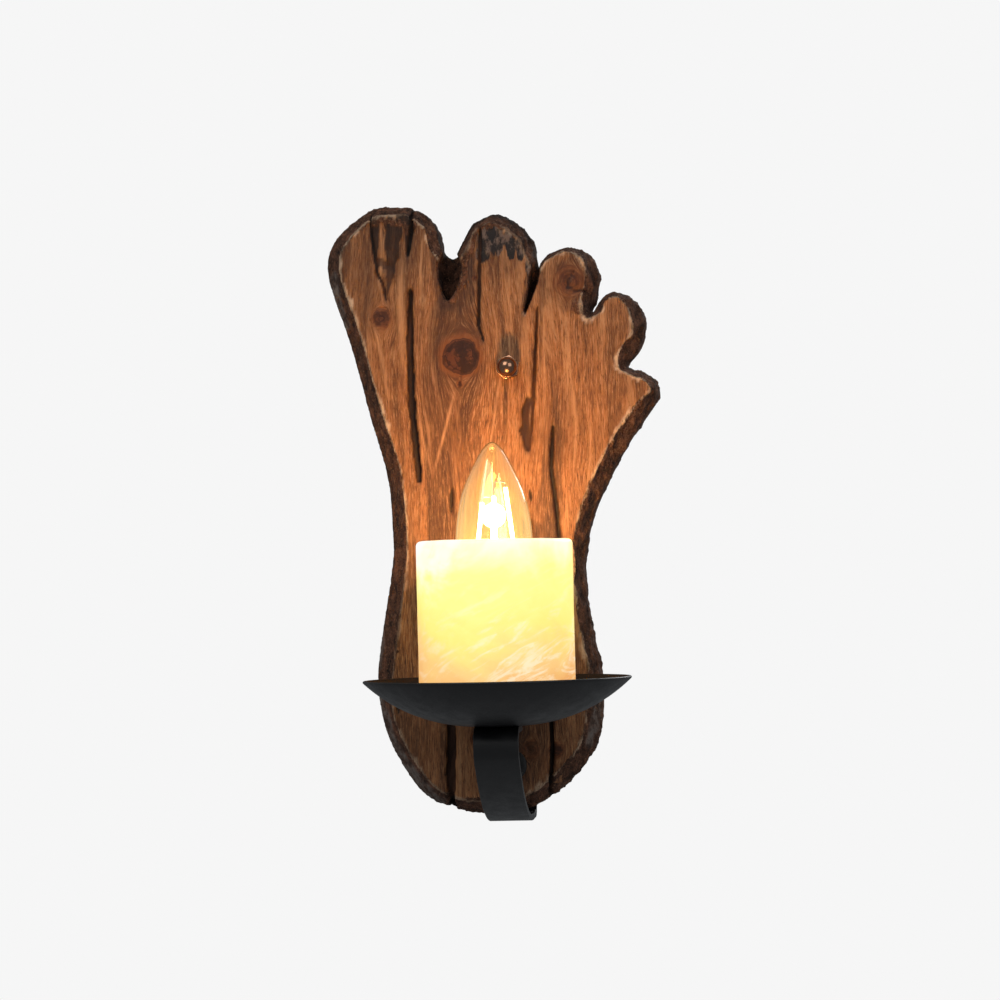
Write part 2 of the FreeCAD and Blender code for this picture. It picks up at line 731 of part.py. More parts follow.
def filament_top_wire(first, second):
    """A wire that rises from the top of one rod and comes down on the top of another."""
    start = filament_ends(first)[1]
    end = filament_ends(second)[1]
    high = max(start.z, end.z) + filament_wire_rise
    points = [start, Vector(start.x, start.y, high), Vector(end.x, end.y, high), end]
    return lead("top wire", points, [top_wire_bend, top_wire_bend], filament_wire_radius)


def bulb_cap():
    """The E14 shell: a thin cup, open at both ends, that the glass neck is cemented in."""
    low_z = bulb_bottom_z + bulb_contact_height + bulb_insulator_height
    return ring(bulb_cap_radius, bulb_cap_radius - bulb_cap_wall, low_z, cap_rim_z)


def cap_insulator():
    low_z = bulb_bottom_z + bulb_contact_height
    wide = bulb_cap_radius - bulb_cap_wall
    cone = Part.makeCone(bulb_contact_radius + bulb_contact_margin, wide, bulb_insulator_height,
                         lamp + up * low_z, up)
    plug_z = low_z + bulb_insulator_height
    plug_top_z = plug_z + bulb_insulator_plug
    return cone.fuse(rod(wide, lamp + up * plug_z, lamp + up * plug_top_z))


def cap_contact():
    end = lamp + up * (bulb_bottom_z + bulb_contact_height)
    return rod(bulb_contact_radius, lamp + up * bulb_bottom_z, end)


# ---------------------------------------------------------------- terminal block and leads
def block_low_z():
    return -block_height / 2


def block_back_y():
    """The face of the block that the leads' side shows, away from the pocket's floor."""
    return -pocket_depth + block_depth


def pole_places():
    return (-pole_spacing, 0.0, pole_spacing)


def pole_y():
    return -pocket_depth + block_depth / 2


def terminal_block():
    block = box((-block_width / 2, -pocket_depth, block_low_z()),
                (block_width / 2, block_back_y(), block_low_z() + block_height))
    for x in pole_places():
        block = block.cut(box((x - pole_width / 2, pole_y() - pole_depth / 2, -pole_height / 2),
                              (x + pole_width / 2, pole_y() + pole_depth / 2, pole_height / 2)))
        block = block.cut(rod(lead_radius, Vector(x, pole_y(), block_low_z() - over),
                              Vector(x, pole_y(), -block_low_z() + over)))
        for z in pole_screw_heights():
            block = block.cut(rod(block_screw_radius, Vector(x, pole_y(), z), Vector(x, over, z)))
    hole_x = block_screw_x()
    start = Vector(hole_x, -pocket_depth - over, 0)
    return block.cut(rod(block_screw_radius, start, Vector(hole_x, over, 0)))


def pole_screw_heights():
    return (-pole_height / 4, pole_height / 4)


def block_screw_x():
    return pole_spacing / 2


def pole_clamp(x):
    return box((x - pole_width / 2, pole_y() - pole_depth / 2, -pole_height / 2),
               (x + pole_width / 2, pole_y() + pole_depth / 2, pole_height / 2))


def pole_screw(x, z):
    """A clamp screw, its head just under the block's face."""
    return rod(block_screw_radius, Vector(x, pole_y() + pole_depth / 2, z),
               Vector(x, block_back_y() - pole_screw_sink, z))


def block_screw_tip():
    return Vector(block_screw_x(), -pocket_depth - block_screw_grip, 0)


def block_screw():
    head_y = block_back_y()
    shank = rod(block_screw_radius, block_screw_tip(), Vector(block_screw_x(), head_y, 0))
    head = rod(block_screw_head_radius, Vector(block_screw_x(), head_y, 0),
               Vector(block_screw_x(), head_y + block_screw_head, 0))
    return shank.fuse(head)


def supply_lead(name, x, pole):
    """From a lampholder terminal down the nipple, through the board and up to the block."""
    channel_x = lead_channel_x + x
    points = [Vector(x, lamp_y, terminal_z), Vector(x, lamp_y, lead_drop_z),
              Vector(x, lead_plane_y, lead_drop_z),
              Vector(channel_x, lead_plane_y, lead_drop_z + lead_jog),
              Vector(channel_x, lead_plane_y, lead_fan_low_z),
              Vector(pole, pole_y(), lead_fan_top_z), Vector(pole, pole_y(), -pole_height / 2)]
    return lead(name, points, [lead_bend, lead_turn_bend, lead_jog_bend, lead_fan_bend, lead_fan_bend])


def protective_lead():
    """From the earth tag to the block's middle pole, above the other two leads."""
    start_y = lamp_y + tag_radius + tag_neck
    start_z = tag_z + tag_thickness / 2
    low_z = lead_drop_z + earth_lift
    plane_y = lead_plane_y - earth_lift
    points = [Vector(0, start_y, start_z), Vector(0, start_y + earth_run, start_z),
              Vector(0, front_y - earth_run, low_z), Vector(0, plane_y, low_z),
              Vector(lead_channel_x, plane_y, lead_drop_z + lead_jog),
              Vector(lead_channel_x, plane_y, lead_fan_low_z), Vector(0, pole_y(), lead_fan_top_z),
              Vector(0, pole_y(), -pole_height / 2)]
    radii = [lead_bend, lead_bend, earth_turn_bend, lead_jog_bend, lead_fan_bend, lead_fan_bend]
    return lead("earth lead", points, radii)


def lead_grommet():
    """A rubber ring in the board's front face round the three leads."""
    face = Vector(0, front_y, lead_drop_z)
    bore_start = face - back * (grommet_flange + over) + up * grommet_bore_lift
    body = rod(grommet_radius, face, Vector(0, -lead_channel_depth, lead_drop_z))
    flange = rod(grommet_flange_radius, face - back * grommet_flange, face)
    bore = rod(grommet_bore_radius, bore_start, Vector(0, 0, bore_start.z))
    return body.fuse(flange).cut(bore)


# ---------------------------------------------------------------- write the nodes
os.makedirs("parts", exist_ok=True)
export("foot_board", foot_board())
export("wall_bracket", wall_bracket(), offset=0)
export("mounting_studs", *[mounting_stud(z) for z in stud_heights()], offset=0)
export("stud_locknuts", *[stud_locknut(z) for z in stud_heights()], offset=0)
export("dome_nuts", *[dome_nut(z) for z in stud_heights()], offset=0)
export("arm", arm())
export("arm_screws", *[arm_screw(x) for x in arm_screw_places()])
export("saucer", saucer())
export("threaded_nipple", ring(nipple_radius, nipple_bore_radius, nipple_bottom_z, nipple_top_z))
export("earth_tag", earth_tag())
washer_hole = nipple_radius + nipple_clearance
export("toothed_washer", ring(toothed_washer_radius, washer_hole, toothed_washer_z, tag_z))
export("nipple_locknut", nipple_nut())
export("seat_spacer", ring(spacer_radius, washer_hole, saucer_floor_z, cup_bottom_z))
export("candle_cup", candle_cup())
export("cup_washer", ring(cup_washer_radius, washer_hole, cup_floor_z, cup_washer_z))
export("holder_base", holder_base())
export("holder_body", holder_body())
export("holder_shell", holder_shell())
export("holder_contact", holder_contact())
export("holder_terminals", *[terminal(x) for x in lead_places()])
export("holder_screws", *[terminal_fixing(x) for x in lead_places()])
export("bulb_glass", bulb_glass())
export("bulb_stem", bulb_stem())
export("led_filaments", *[filament(place) for place in filament_rods])
export("filament_wires", *[filament_foot_wire(place) for place in filament_rods],
       filament_top_wire(filament_rods[0], filament_rods[3]),
       filament_top_wire(filament_rods[2], filament_rods[1]))
export("bulb_cap", bulb_cap())
export("cap_insulator", cap_insulator())
export("cap_contact", cap_contact())
export("live_lead", supply_lead("live lead", lead_spacing / 2, pole_spacing))
export("neutral_lead", supply_lead("neutral lead", -lead_spacing / 2, -pole_spacing))
export("earth_lead", protective_lead())
export("lead_grommet", lead_grommet())
export("terminal_block", terminal_block())
export("terminal_clamps", *[pole_clamp(x) for x in pole_places()])
export("terminal_screws", *[pole_screw(x, z) for x in pole_places() for z in pole_screw_heights()])
export("block_screw", block_screw())
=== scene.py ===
"""Wall lamp with a candle cup on an iron saucer, in front of a hewn board cut as a bare foot.

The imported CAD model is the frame: metres, the wall at y = 0, the front towards -Y, +Z up.
Sizes below are in millimetres and are turned into metres where a piece is made.
"""
import json
import math

import bmesh
import bpy
import numpy as np
from bpy.props import FloatProperty, FloatVectorProperty, IntProperty, PointerProperty
from mathutils import Matrix, Vector, kdtree, noise


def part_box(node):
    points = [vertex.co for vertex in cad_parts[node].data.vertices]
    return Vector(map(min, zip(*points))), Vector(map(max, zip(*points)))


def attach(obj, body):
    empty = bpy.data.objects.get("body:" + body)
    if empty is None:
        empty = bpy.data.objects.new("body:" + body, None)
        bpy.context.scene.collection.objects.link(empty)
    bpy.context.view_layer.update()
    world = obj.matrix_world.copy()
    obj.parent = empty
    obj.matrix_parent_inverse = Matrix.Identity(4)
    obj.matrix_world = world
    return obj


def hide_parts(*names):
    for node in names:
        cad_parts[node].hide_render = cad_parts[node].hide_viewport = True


bl_info = {
    "name": "Foot Board Wall Lamp",
    "version": (1, 0, 0),
    "blender": (4, 5, 0),
    "location": "View3D > Sidebar > Wall Lamp",
    "description": "Builds a wall lamp with a candle cup around its packed CAD frame",
    "category": "Object",
}

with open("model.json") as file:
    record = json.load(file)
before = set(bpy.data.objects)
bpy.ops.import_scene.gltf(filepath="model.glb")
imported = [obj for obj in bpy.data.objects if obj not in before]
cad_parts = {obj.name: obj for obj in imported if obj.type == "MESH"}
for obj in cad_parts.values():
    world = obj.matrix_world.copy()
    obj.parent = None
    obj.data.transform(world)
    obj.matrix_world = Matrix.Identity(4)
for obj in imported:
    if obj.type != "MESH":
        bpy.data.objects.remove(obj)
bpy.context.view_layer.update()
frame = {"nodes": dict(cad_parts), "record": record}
SLOTS = {row["node"]: row["material_slot"] for row in frame["record"]["subparts"]}
BODIES = {node: body for body, nodes in frame["record"]["behaviour"]["bodies"].items() for node in nodes}

MM = 0.001
BOARD_LOW, BOARD_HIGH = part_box("foot_board")
CUP_LOW, CUP_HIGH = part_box("candle_cup")
SAUCER_LOW, SAUCER_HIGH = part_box("saucer")
GLASS_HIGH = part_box("bulb_glass")[1]
AXIS = (CUP_LOW + CUP_HIGH) / 2

# ---------------------------------------------------------------- the board's marks, in millimetres
# Cracks and gouged grooves: points from the top down, half width, depth, and how much painted shade darkens
# them inside.
GROOVES = [
    ([(-61.6, 125.0), (-60.2, 110.0), (-58.5, 97.4), (-55.6, 91.0), (-54.3, 83.9)], 0.7, 2.0, 0.9),
    ([(-41.0, 129.0), (-41.6, 117.0), (-43.4, 105.4)], 1.1, 2.4, 0.9),
    ([(-42.8, 88.0), (-43.6, 62.0), (-43.1, 31.4), (-41.6, 12.0), (-40.6, -2.0)], 1.7, 3.2, 0.95),
    ([(-8.9, 118.0), (-9.8, 96.0), (-10.6, 70.7), (-8.6, 63.5)], 0.8, 2.2, 0.9),
    ([(17.4, 78.0), (16.0, 58.0), (14.6, 38.0), (13.4, 22.0), (11.6, 10.5)], 0.8, 2.6, 0.95),
    ([(12.0, 35.0), (10.4, 28.0), (10.2, 20.0), (11.4, 12.0)], 2.2, 2.6, 0.75),
    ([(23.5, 22.0), (22.6, 10.0), (22.1, 2.3), (24.0, -15.0), (25.1, -31.0)], 1.0, 2.4, 0.9),
    ([(-25.2, -7.0), (-25.6, -17.0)], 0.9, 1.8, 0.8),
    ([(11.9, -8.5), (12.2, -12.5)], 0.8, 1.6, 0.8),
    ([(11.6, -21.5), (11.5, -32.0)], 1.2, 1.8, 0.7),
    ([(-27.4, -104.0), (-28.0, -130.0), (-29.0, -158.0)], 2.2, 3.6, 1.0),
    ([(18.8, -104.0), (19.6, -128.0), (18.1, -154.0)], 1.0, 2.8, 1.0),
    ([(-54.0, -104.0), (-52.5, -111.0)], 0.8, 1.4, 0.8),
    ([(-14.5, -108.0), (-14.0, -116.0)], 1.0, 1.6, 0.8),
    ([(-58.0, 103.0), (-52.0, 99.5)], 2.6, 0.8, 0.55),
    ([(35.5, 95.5), (32.0, 90.5), (32.5, 86.8), (37.0, 85.4), (42.8, 85.0)], 0.55, 1.2, 0.9),
    ([(31.0, 86.8), (34.5, 87.6)], 0.5, 0.8, 0.8),
]
# Pale lines of the grain: points from the top down and half width.
PALE_LINES = [
    ([(-1.9, 44.0), (-3.6, 30.0), (-6.2, 14.0)], 0.55),
    ([(-22.5, 40.0), (-28.0, 20.0), (-33.6, 1.0)], 0.7),
    ([(-40.6, 36.0), (-38.4, 18.0), (-34.6, 2.0)], 0.6),
    ([(-46.2, 106.0), (-47.4, 84.0), (-46.6, 50.0)], 1.7),
    ([(-57.4, 121.0), (-55.4, 112.0), (-55.9, 102.0), (-57.2, 93.0), (-55.6, 84.0)], 0.9),
    ([(-35.5, 118.0), (-37.6, 98.0), (-37.2, 80.0)], 0.6),
    ([(2.2, 94.0), (4.6, 80.0), (5.0, 64.0)], 0.5),
    ([(33.5, 44.0), (34.4, 20.0), (33.0, 2.0)], 0.7),
    ([(-61.0, 76.0), (-57.5, 60.0), (-54.0, 36.0)], 0.8),
    ([(19.8, 88.0), (20.4, 60.0), (19.6, 30.0)], 0.5),
    ([(-13.8, 114.0), (-13.4, 108.0)], 1.2),
]
# Knots: place, core radius, ring radius, how dark.
KNOTS = [
    (-19.2, 56.3, 8.2, 12.5, 1.0),
    (-56.6, 75.0, 4.2, 6.2, 0.85),
    (33.0, 90.0, 5.0, 11.0, 0.55),
    (-20.0, 43.1, 1.1, 2.4, 1.0),
    (-11.8, 93.1, 0.8, 1.2, 1.0),
    (21.4, -130.2, 3.0, 4.4, 0.9),
    (9.6, -130.0, 3.6, 5.0, 0.6),
    (-16.2, -123.9, 2.2, 3.4, 0.9),
    (-57.0, -103.5, 2.0, 3.6, 0.8),
]
# Charred places: centre, half sizes across and up, how dark.
CHARRED = [
    (-2.0, 120.0, 15.0, 9.0, 1.0),
    (-7.5, 109.0, 3.4, 11.5, 1.0),
    (5.5, 109.5, 3.0, 9.0, 1.0),
    (-1.5, 112.0, 8.5, 8.5, 0.9),
    (10.5, 108.0, 3.0, 9.0, 0.9),
    (13.5, 100.0, 1.6, 9.0, 0.9),
    (-42.5, 117.0, 2.4, 11.0, 0.6),
]
# Places stained a darker brown: centre, half sizes across and up, how dark.
STAINED = [
    (-15.0, 97.0, 5.5, 22.0, 0.85),
    (-24.0, 80.0, 10.0, 6.0, 0.75),
    (-29.5, 96.0, 2.6, 14.0, 0.6),
    (31.5, 92.0, 9.5, 15.0, 0.60),
    (-52.0, 104.0, 12.0, 14.0, 0.20),
    (2.0, 104.0, 14.0, 16.0, 0.45),
    (-64.0, 84.0, 7.0, 22.0, 0.30),
    (11.0, 20.0, 3.2, 14.0, 0.55),
    (-20.0, 56.0, 15.0, 15.0, 0.30),
    (8.0, -132.0, 13.0, 20.0, 0.50),
    (14.0, -28.0, 4.0, 7.0, 0.5),
    (-48.0, -128.0, 14.0, 20.0, 0.25),
    (28.0, 20.0, 12.0, 26.0, 0.30),
]
# Dark wedges that taper from the top down: points, half width at the top, how dark.
WEDGES = [
    ([(-58.4, 124.0), (-59.2, 108.0), (-58.8, 96.6)], 2.4, 1.0),
    ([(-49.6, 124.0), (-50.8, 106.0), (-53.9, 84.7)], 4.8, 1.0),
    ([(-42.6, 127.0), (-42.9, 116.0), (-44.0, 103.0)], 3.0, 1.0),
    ([(-33.0, 118.0), (-31.5, 98.0), (-29.5, 80.0)], 1.6, 0.55),
    ([(-12.0, 118.0), (-11.0, 96.0), (-9.0, 66.0)], 1.8, 0.55),
    ([(14.6, 98.0), (10.5, 78.0), (8.6, 62.0)], 1.6, 0.6),
    ([(20.5, 96.0), (18.8, 70.0), (17.6, 40.0)], 1.5, 0.5),
    ([(29.0, 97.0), (31.0, 92.5), (35.6, 88.6)], 2.6, 0.9),
    ([(35.0, 95.0), (36.0, 91.0), (38.5, 88.6)], 1.6, 0.85),
]
# Rough dark places that run on from the bevel over the front: points and half width.
HEWN_FRONT = [
    ([(-72.0, 117.0), (-64.0, 121.5), (-55.0, 122.5), (-47.0, 120.5), (-43.0, 117.0), (-38.0, 121.0)], 2.6),
    ([(-12.0, 117.0), (-3.0, 119.0), (6.0, 116.5), (11.5, 109.0)], 2.4),
    ([(-22.5, 84.0), (-17.5, 92.0), (-16.0, 104.0), (-13.0, 113.0)], 2.0),
    ([(36.0, 76.5), (38.5, 82.0)], 2.0),
    ([(-56.0, -86.0), (-52.5, -82.5)], 1.4),
    ([(-40.0, -148.0), (-22.0, -153.5), (-6.0, -153.0)], 1.2),
]
# Grey places on the bevel: points from the top down and half width.
BEVEL_GREYS = [
    ([(-62.8, -104.0), (-58.0, -122.0), (-47.0, -142.0), (-35.0, -154.0)], 2.6),
    ([(-79.5, 96.0), (-78.6, 86.0), (-75.5, 74.0)], 2.4),
    ([(-61.0, -62.0), (-62.5, -90.0)], 1.6),
    ([(39.5, -100.0), (41.0, -112.0), (37.0, -128.0)], 1.8),
]


class LampLooks(bpy.types.PropertyGroup):
    """Sizes and colours of the lamp that can be changed before it is built"""

    board_step: FloatProperty(
        name="Board Step", description="Distance between the board's points across the grain",
        default=0.0007, unit="LENGTH")
    wood_mid: FloatVectorProperty(
        name="Wood", description="Main colour of the stained wood", default=(0.252, 0.098, 0.034),
        size=3, subtype="COLOR")
    wood_dark: FloatVectorProperty(
        name="Late Wood", description="Colour of the dark grain", default=(0.062, 0.022, 0.010),
        size=3, subtype="COLOR")
    wood_tan: FloatVectorProperty(
        name="Early Wood", description="Colour of the pale grain", default=(0.490, 0.246, 0.110),
        size=3, subtype="COLOR")
    # colour of the pale rubbed edge, which also serves as a painted highlight along it
    wood_worn_and_highlit: FloatVectorProperty(
        name="Worn Edge", description="Colour of the rubbed edge", default=(0.640, 0.440, 0.290),
        size=3, subtype="COLOR")
    wood_hewn: FloatVectorProperty(
        name="Hewn Bevel", description="Colour of the rough dark bevel", default=(0.100, 0.042, 0.023),
        size=3, subtype="COLOR")
    knot_red: FloatVectorProperty(
        name="Knot", description="Colour of the knots", default=(0.095, 0.026, 0.009),
        size=3, subtype="COLOR")
    iron: FloatVectorProperty(
        name="Iron", description="Colour of the black powder coat", default=(0.006, 0.006, 0.0068),
        size=3, subtype="COLOR")
    cup_cream: FloatVectorProperty(
        name="Cup", description="Colour of the cup's cream resin", default=(0.50, 0.42, 0.30),
        size=3, subtype="COLOR")
    # strength of the cup's painted glow, which stands in for the bulb's light through the resin
    cup_painted_glow: FloatProperty(
        name="Cup Glow", description="How brightly the lit cup shines", default=0.92, min=0.0)
    bulb_light: FloatProperty(
        name="Bulb Light", description="Power of the bulb's light", default=0.37, min=0.0, unit="POWER")
    bulb_tint: FloatVectorProperty(
        name="Bulb Tint", description="Colour of the bulb's light", default=(1.0, 0.48, 0.14),
        size=3, subtype="COLOR")
    round_steps: IntProperty(
        name="Round Steps", description="Number of faces round a turned piece", default=128, min=24)


# ---------------------------------------------------------------- shader helpers
def toned(colour, share):
    """A colour made darker or lighter."""
    return tuple(c * share for c in colour)


class Tree:
    """A material with short calls for its nodes."""

    def __init__(self, name, **sockets):
        self.material = bpy.data.materials.new(name)
        self.material.use_nodes = True
        self.nodes = self.material.node_tree.nodes
        self.links = self.material.node_tree.links
        self.shader = self.nodes["Principled BSDF"]
        for socket, value in sockets.items():
            self.set(self.shader, socket.replace("_", " "), value)
        self.place = self.nodes.new("ShaderNodeTexCoord").outputs["Object"]

    def set(self, node, socket, value):
        """Links an output to a socket, or sets the socket's value."""
        target = node.inputs[socket]
        if isinstance(value, bpy.types.NodeSocket):
            self.links.new(value, target)
        elif isinstance(value, (tuple, list)) and len(value) == 3 and len(target.default_value) == 4:
            target.default_value = (*value, 1.0)
        else:
            target.default_value = value

    def out(self, socket, value):
        """Sets one of the surface shader's sockets."""
        self.set(self.shader, socket, value)

    def scaled(self, scale, turn=(0.0, 0.0, 0.0), source=None):
        """Coordinates stretched by a scale along each axis."""
        node = self.nodes.new("ShaderNodeMapping")
        self.set(node, "Vector", source or self.place)
        node.inputs["Scale"].default_value = scale
        node.inputs["Rotation"].default_value = turn
        return node.outputs["Vector"]

    def noise(self, vector, scale=1.0, detail=4.0, rough=0.55, distortion=0.0):
        """Fractal noise from 0 to 1."""
        node = self.nodes.new("ShaderNodeTexNoise")
        self.set(node, "Vector", vector)
        for socket, value in (("Scale", scale), ("Detail", detail), ("Roughness", rough),
                              ("Distortion", distortion)):
            node.inputs[socket].default_value = value
        return node.outputs["Fac"]

    def spread(self, value, low, high, to_low=0.0, to_high=1.0):
        """Maps a range of a value onto another, clamped and smooth."""
        node = self.nodes.new("ShaderNodeMapRange")
        node.interpolation_type = "SMOOTHSTEP"
        self.set(node, "Value", value)
        limits = {"From Min": low, "From Max": high, "To Min": to_low, "To Max": to_high}
        for socket, number in limits.items():
            node.inputs[socket].default_value = number
        return node.outputs["Result"]

    def sum(self, operation, first, second=0.0):
        """Arithmetic on two values."""
        node = self.nodes.new("ShaderNodeMath")
        node.operation = operation
        self.set(node, 0, first)
        self.set(node, 1, second)
        return node.outputs["Value"]

    def plus(self, first, second):
        """The sum of two values."""
        return self.sum("ADD", first, second)

    def minus(self, first, second):
        """The first value less the second."""
        return self.sum("SUBTRACT", first, second)

    def times(self, first, second):
        """The product of two values."""
        return self.sum("MULTIPLY", first, second)

    def size(self, value):
        """A value without its sign."""
        return self.sum("ABSOLUTE", value)

    def mix(self, share, first, second):
        """A mix of two colours."""
        node = self.nodes.new("ShaderNodeMix")
        node.data_type = "RGBA"
        for name, value in (("Factor_Float", share), ("A_Color", first), ("B_Color", second)):
            target = next(s for s in node.inputs if s.identifier == name)
            if isinstance(value, bpy.types.NodeSocket):
                self.links.new(value, target)
            elif name == "Factor_Float":
                target.default_value = value
            else:
                target.default_value = (*value, 1.0)
        return next(s for s in node.outputs if s.identifier == "Result_Color")

    def ramp(self, value, stops):
        """A colour for each value, from places and colours."""
        node = self.nodes.new("ShaderNodeValToRGB")
        self.set(node, "Fac", value)
        points = node.color_ramp.elements
        while len(points) < len(stops):
            points.new(0.5)
        for point, (place, colour) in zip(points, stops):
            point.position = place
            point.color = (*colour, 1.0)
        return node.outputs["Color"]

    def attribute(self, name, output="Fac"):
        """A value stored on the piece's points."""
        node = self.nodes.new("ShaderNodeAttribute")
        node.attribute_name = name
        return node.outputs[output]

    def axis(self, vector, letter):
        """One coordinate of a vector."""
        node = self.nodes.new("ShaderNodeSeparateXYZ")
        self.set(node, "Vector", vector)
        return node.outputs[letter]

    def bump(self, height, distance, normal=None):
        """Surface relief from a height."""
        node = self.nodes.new("ShaderNodeBump")
        self.set(node, "Height", height)
        node.inputs["Distance"].default_value = distance
        if normal:
            self.set(node, "Normal", normal)
        return node.outputs["Normal"]


def plain_finish(name, base, metallic, rough, grain, relief, tone=0.18):
    """A finish with fine mottling, uneven gloss and a fine surface grain."""
    tree = Tree(name, Metallic=metallic)
    cloud = tree.noise(tree.place, grain * 0.12, 5.0)
    fine = tree.noise(tree.place, grain, 3.0, 0.6)
    darker = toned(base, 1 - tone)
    lighter = tuple(min(1.0, c * (1 + tone)) for c in base)
    tree.out("Base Color", tree.mix(tree.spread(cloud, 0.3, 0.7), darker, lighter))
    uneven = tree.spread(tree.plus(cloud, fine), 0.6, 1.4, rough * 0.8, min(1, rough * 1.25))
    tree.out("Roughness", uneven)
    tree.out("Normal", tree.bump(fine, relief * MM))
    return tree.material


def lead_finish(name, base, stripe=None):
    """The smooth insulation of a lead, with a second colour along it for the earth lead."""
    tree = Tree(name, Roughness=0.38)
    tree.out("Specular IOR Level", 0.45)
    cloud = tree.noise(tree.place, 300.0, 3.0)
    colour = tree.mix(tree.spread(cloud, 0.3, 0.7), toned(base, 0.85), base)
    if stripe:
        bands = tree.nodes.new("ShaderNodeTexWave")
        bands.bands_direction = "DIAGONAL"
        tree.set(bands, "Vector", tree.scaled((1.0, 0.6, 0.25)))
        bands.inputs["Scale"].default_value = 210.0
        colour = tree.mix(tree.spread(bands.outputs["Fac"], 0.45, 0.55), colour, stripe)
    tree.out("Base Color", colour)
    tree.out("Normal", tree.bump(tree.noise(tree.place, 2500.0, 2.0), 0.02 * MM))
    return tree.material


def wood_finish(looks):
    """Stained pine: grain that flows round the knots, pores, charring, worn edges that are partly a painted
    highlight, painted shade in the hollows and a hewn bevel.
    """
    tree = Tree("stained_pine")
    grain = tree.attribute("grain", "Vector")
    broad = tree.noise(tree.scaled((55.0, 30.0, 7.0), source=grain), 1.0, 5.0, 0.62, 0.9)
    bands = tree.noise(tree.scaled((150.0, 40.0, 9.0), (0.1, 0.0, 0.0), grain), 1.0, 6.0, 0.66, 0.6)
    streak = tree.noise(tree.scaled((420.0, 60.0, 15.0), source=grain), 1.0, 8.0, 0.74, 0.35)
    fibre = tree.noise(tree.scaled((2300.0, 400.0, 150.0), source=grain), 1.0, 5.0, 0.75)
    pores = tree.noise(tree.scaled((1700.0, 400.0, 260.0), source=grain), 1.0, 2.0, 0.5)
    cloud = tree.noise(tree.place, 28.0, 4.0, 0.6)
    grit = tree.noise(tree.place, 900.0, 4.0, 0.7)
    chips = tree.noise(tree.scaled((260.0, 260.0, 150.0)), 1.0, 5.0, 0.65)

    tone = tree.plus(tree.times(broad, 0.40), tree.times(streak, 0.30))
    tone = tree.plus(tone, tree.times(bands, 0.30))
    mid, dark, tan = tuple(looks.wood_mid), tuple(looks.wood_dark), tuple(looks.wood_tan)
    wood = tree.ramp(tone, [(0.38, dark), (0.45, toned(mid, 0.62)), (0.495, mid),
                            (0.55, toned(mid, 1.40)), (0.61, tan)])
    wood = tree.mix(tree.spread(fibre, 0.51, 0.63, 0.0, 0.85), wood, tan)
    wood = tree.mix(tree.spread(fibre, 0.49, 0.37, 0.0, 0.85), wood, dark)
    wood = tree.mix(tree.spread(pores, 0.62, 0.74, 0.0, 0.55), wood, toned(dark, 0.6))
    wood = tree.mix(tree.spread(broad, 0.50, 0.38, 0.0, 0.45), wood, dark)
    wood = tree.mix(tree.spread(bands, 0.55, 0.66, 0.0, 0.45), wood, tan)
    wood = tree.mix(tree.spread(cloud, 0.45, 0.70, 0.0, 0.45), wood, toned(mid, 0.50))
    pale = tree.times(tree.attribute("pale"), tree.spread(streak, 0.3, 0.6, 0.45, 1.0))
    wood = tree.mix(pale, wood, toned(tan, 1.25))
    uneven = tree.spread(tree.plus(tree.times(streak, 0.6), tree.times(fibre, 0.4)),
                         0.38, 0.60, 1.0, 0.66)
    stain = tree.times(tree.attribute("stain"), uneven)
    wood = tree.mix(stain, wood, (0.034, 0.0135, 0.007))

    red = tuple(looks.knot_red)
    ring = tree.attribute("ring")
    wood = tree.mix(tree.times(ring, 0.7), wood, (0.26, 0.072, 0.016))
    knot = tree.attribute("knot")
    blotch = tree.noise(tree.place, 210.0, 6.0, 0.68, 0.8)
    swirl = tree.attribute("swirl", "Vector")
    arcs = tree.noise(tree.scaled((330.0, 90.0, 330.0), source=swirl), 1.0, 3.0, 0.6, 0.7)
    core = tree.mix(tree.spread(blotch, 0.46, 0.56), toned(red, 0.30), red)
    core = tree.mix(tree.spread(arcs, 0.50, 0.58, 0.0, 0.6), core, toned(red, 0.20))
    core = tree.mix(tree.spread(tree.size(tree.minus(blotch, 0.52)), 0.0, 0.022, 0.9, 0.0),
                    core, (0.012, 0.005, 0.004))
    circled = tree.times(ring, tree.spread(arcs, 0.47, 0.55, 0.0, 0.85))
    wood = tree.mix(circled, wood, toned(dark, 0.8))
    wood = tree.mix(knot, wood, core)

    char = tree.attribute("char")
    burnt = tree.spread(tree.plus(char, tree.times(tree.minus(streak, 0.5), 2.4)), 0.26, 0.52)
    burnt = tree.times(burnt, tree.spread(char, 0.02, 0.30))
    soot = tree.mix(tree.spread(chips, 0.48, 0.64), (0.014, 0.011, 0.011), (0.150, 0.100, 0.078))
    wood = tree.mix(burnt, wood, soot)

    hewn = tree.attribute("hewn")
    shade = tuple(looks.wood_hewn)
    bark = tree.ramp(chips, [(0.32, toned(shade, 0.25)), (0.50, shade), (0.70, toned(shade, 2.3))])
    bark = tree.mix(tree.spread(grit, 0.56, 0.68, 0.0, 0.75), bark, (0.30, 0.165, 0.095))
    bark = tree.mix(tree.spread(grit, 0.46, 0.34, 0.0, 0.85), bark, (0.008, 0.005, 0.004))
    # grey places on the bevel
    bevel_grey_share = tree.times(tree.attribute("bevel_grey"), tree.spread(chips, 0.40, 0.62, 0.15, 0.9))
    bark = tree.mix(bevel_grey_share, bark, (0.205, 0.175, 0.155))
    wood = tree.mix(tree.spread(hewn, 0.25, 0.60), wood, bark)
    # the pale rubbed edge, partly a painted highlight
    worn_and_highlit = tree.times(tree.attribute("worn_and_highlit"), tree.spread(chips, 0.36, 0.56, 0.25, 1.0))
    wood = tree.mix(worn_and_highlit, wood, tuple(looks.wood_worn_and_highlit))
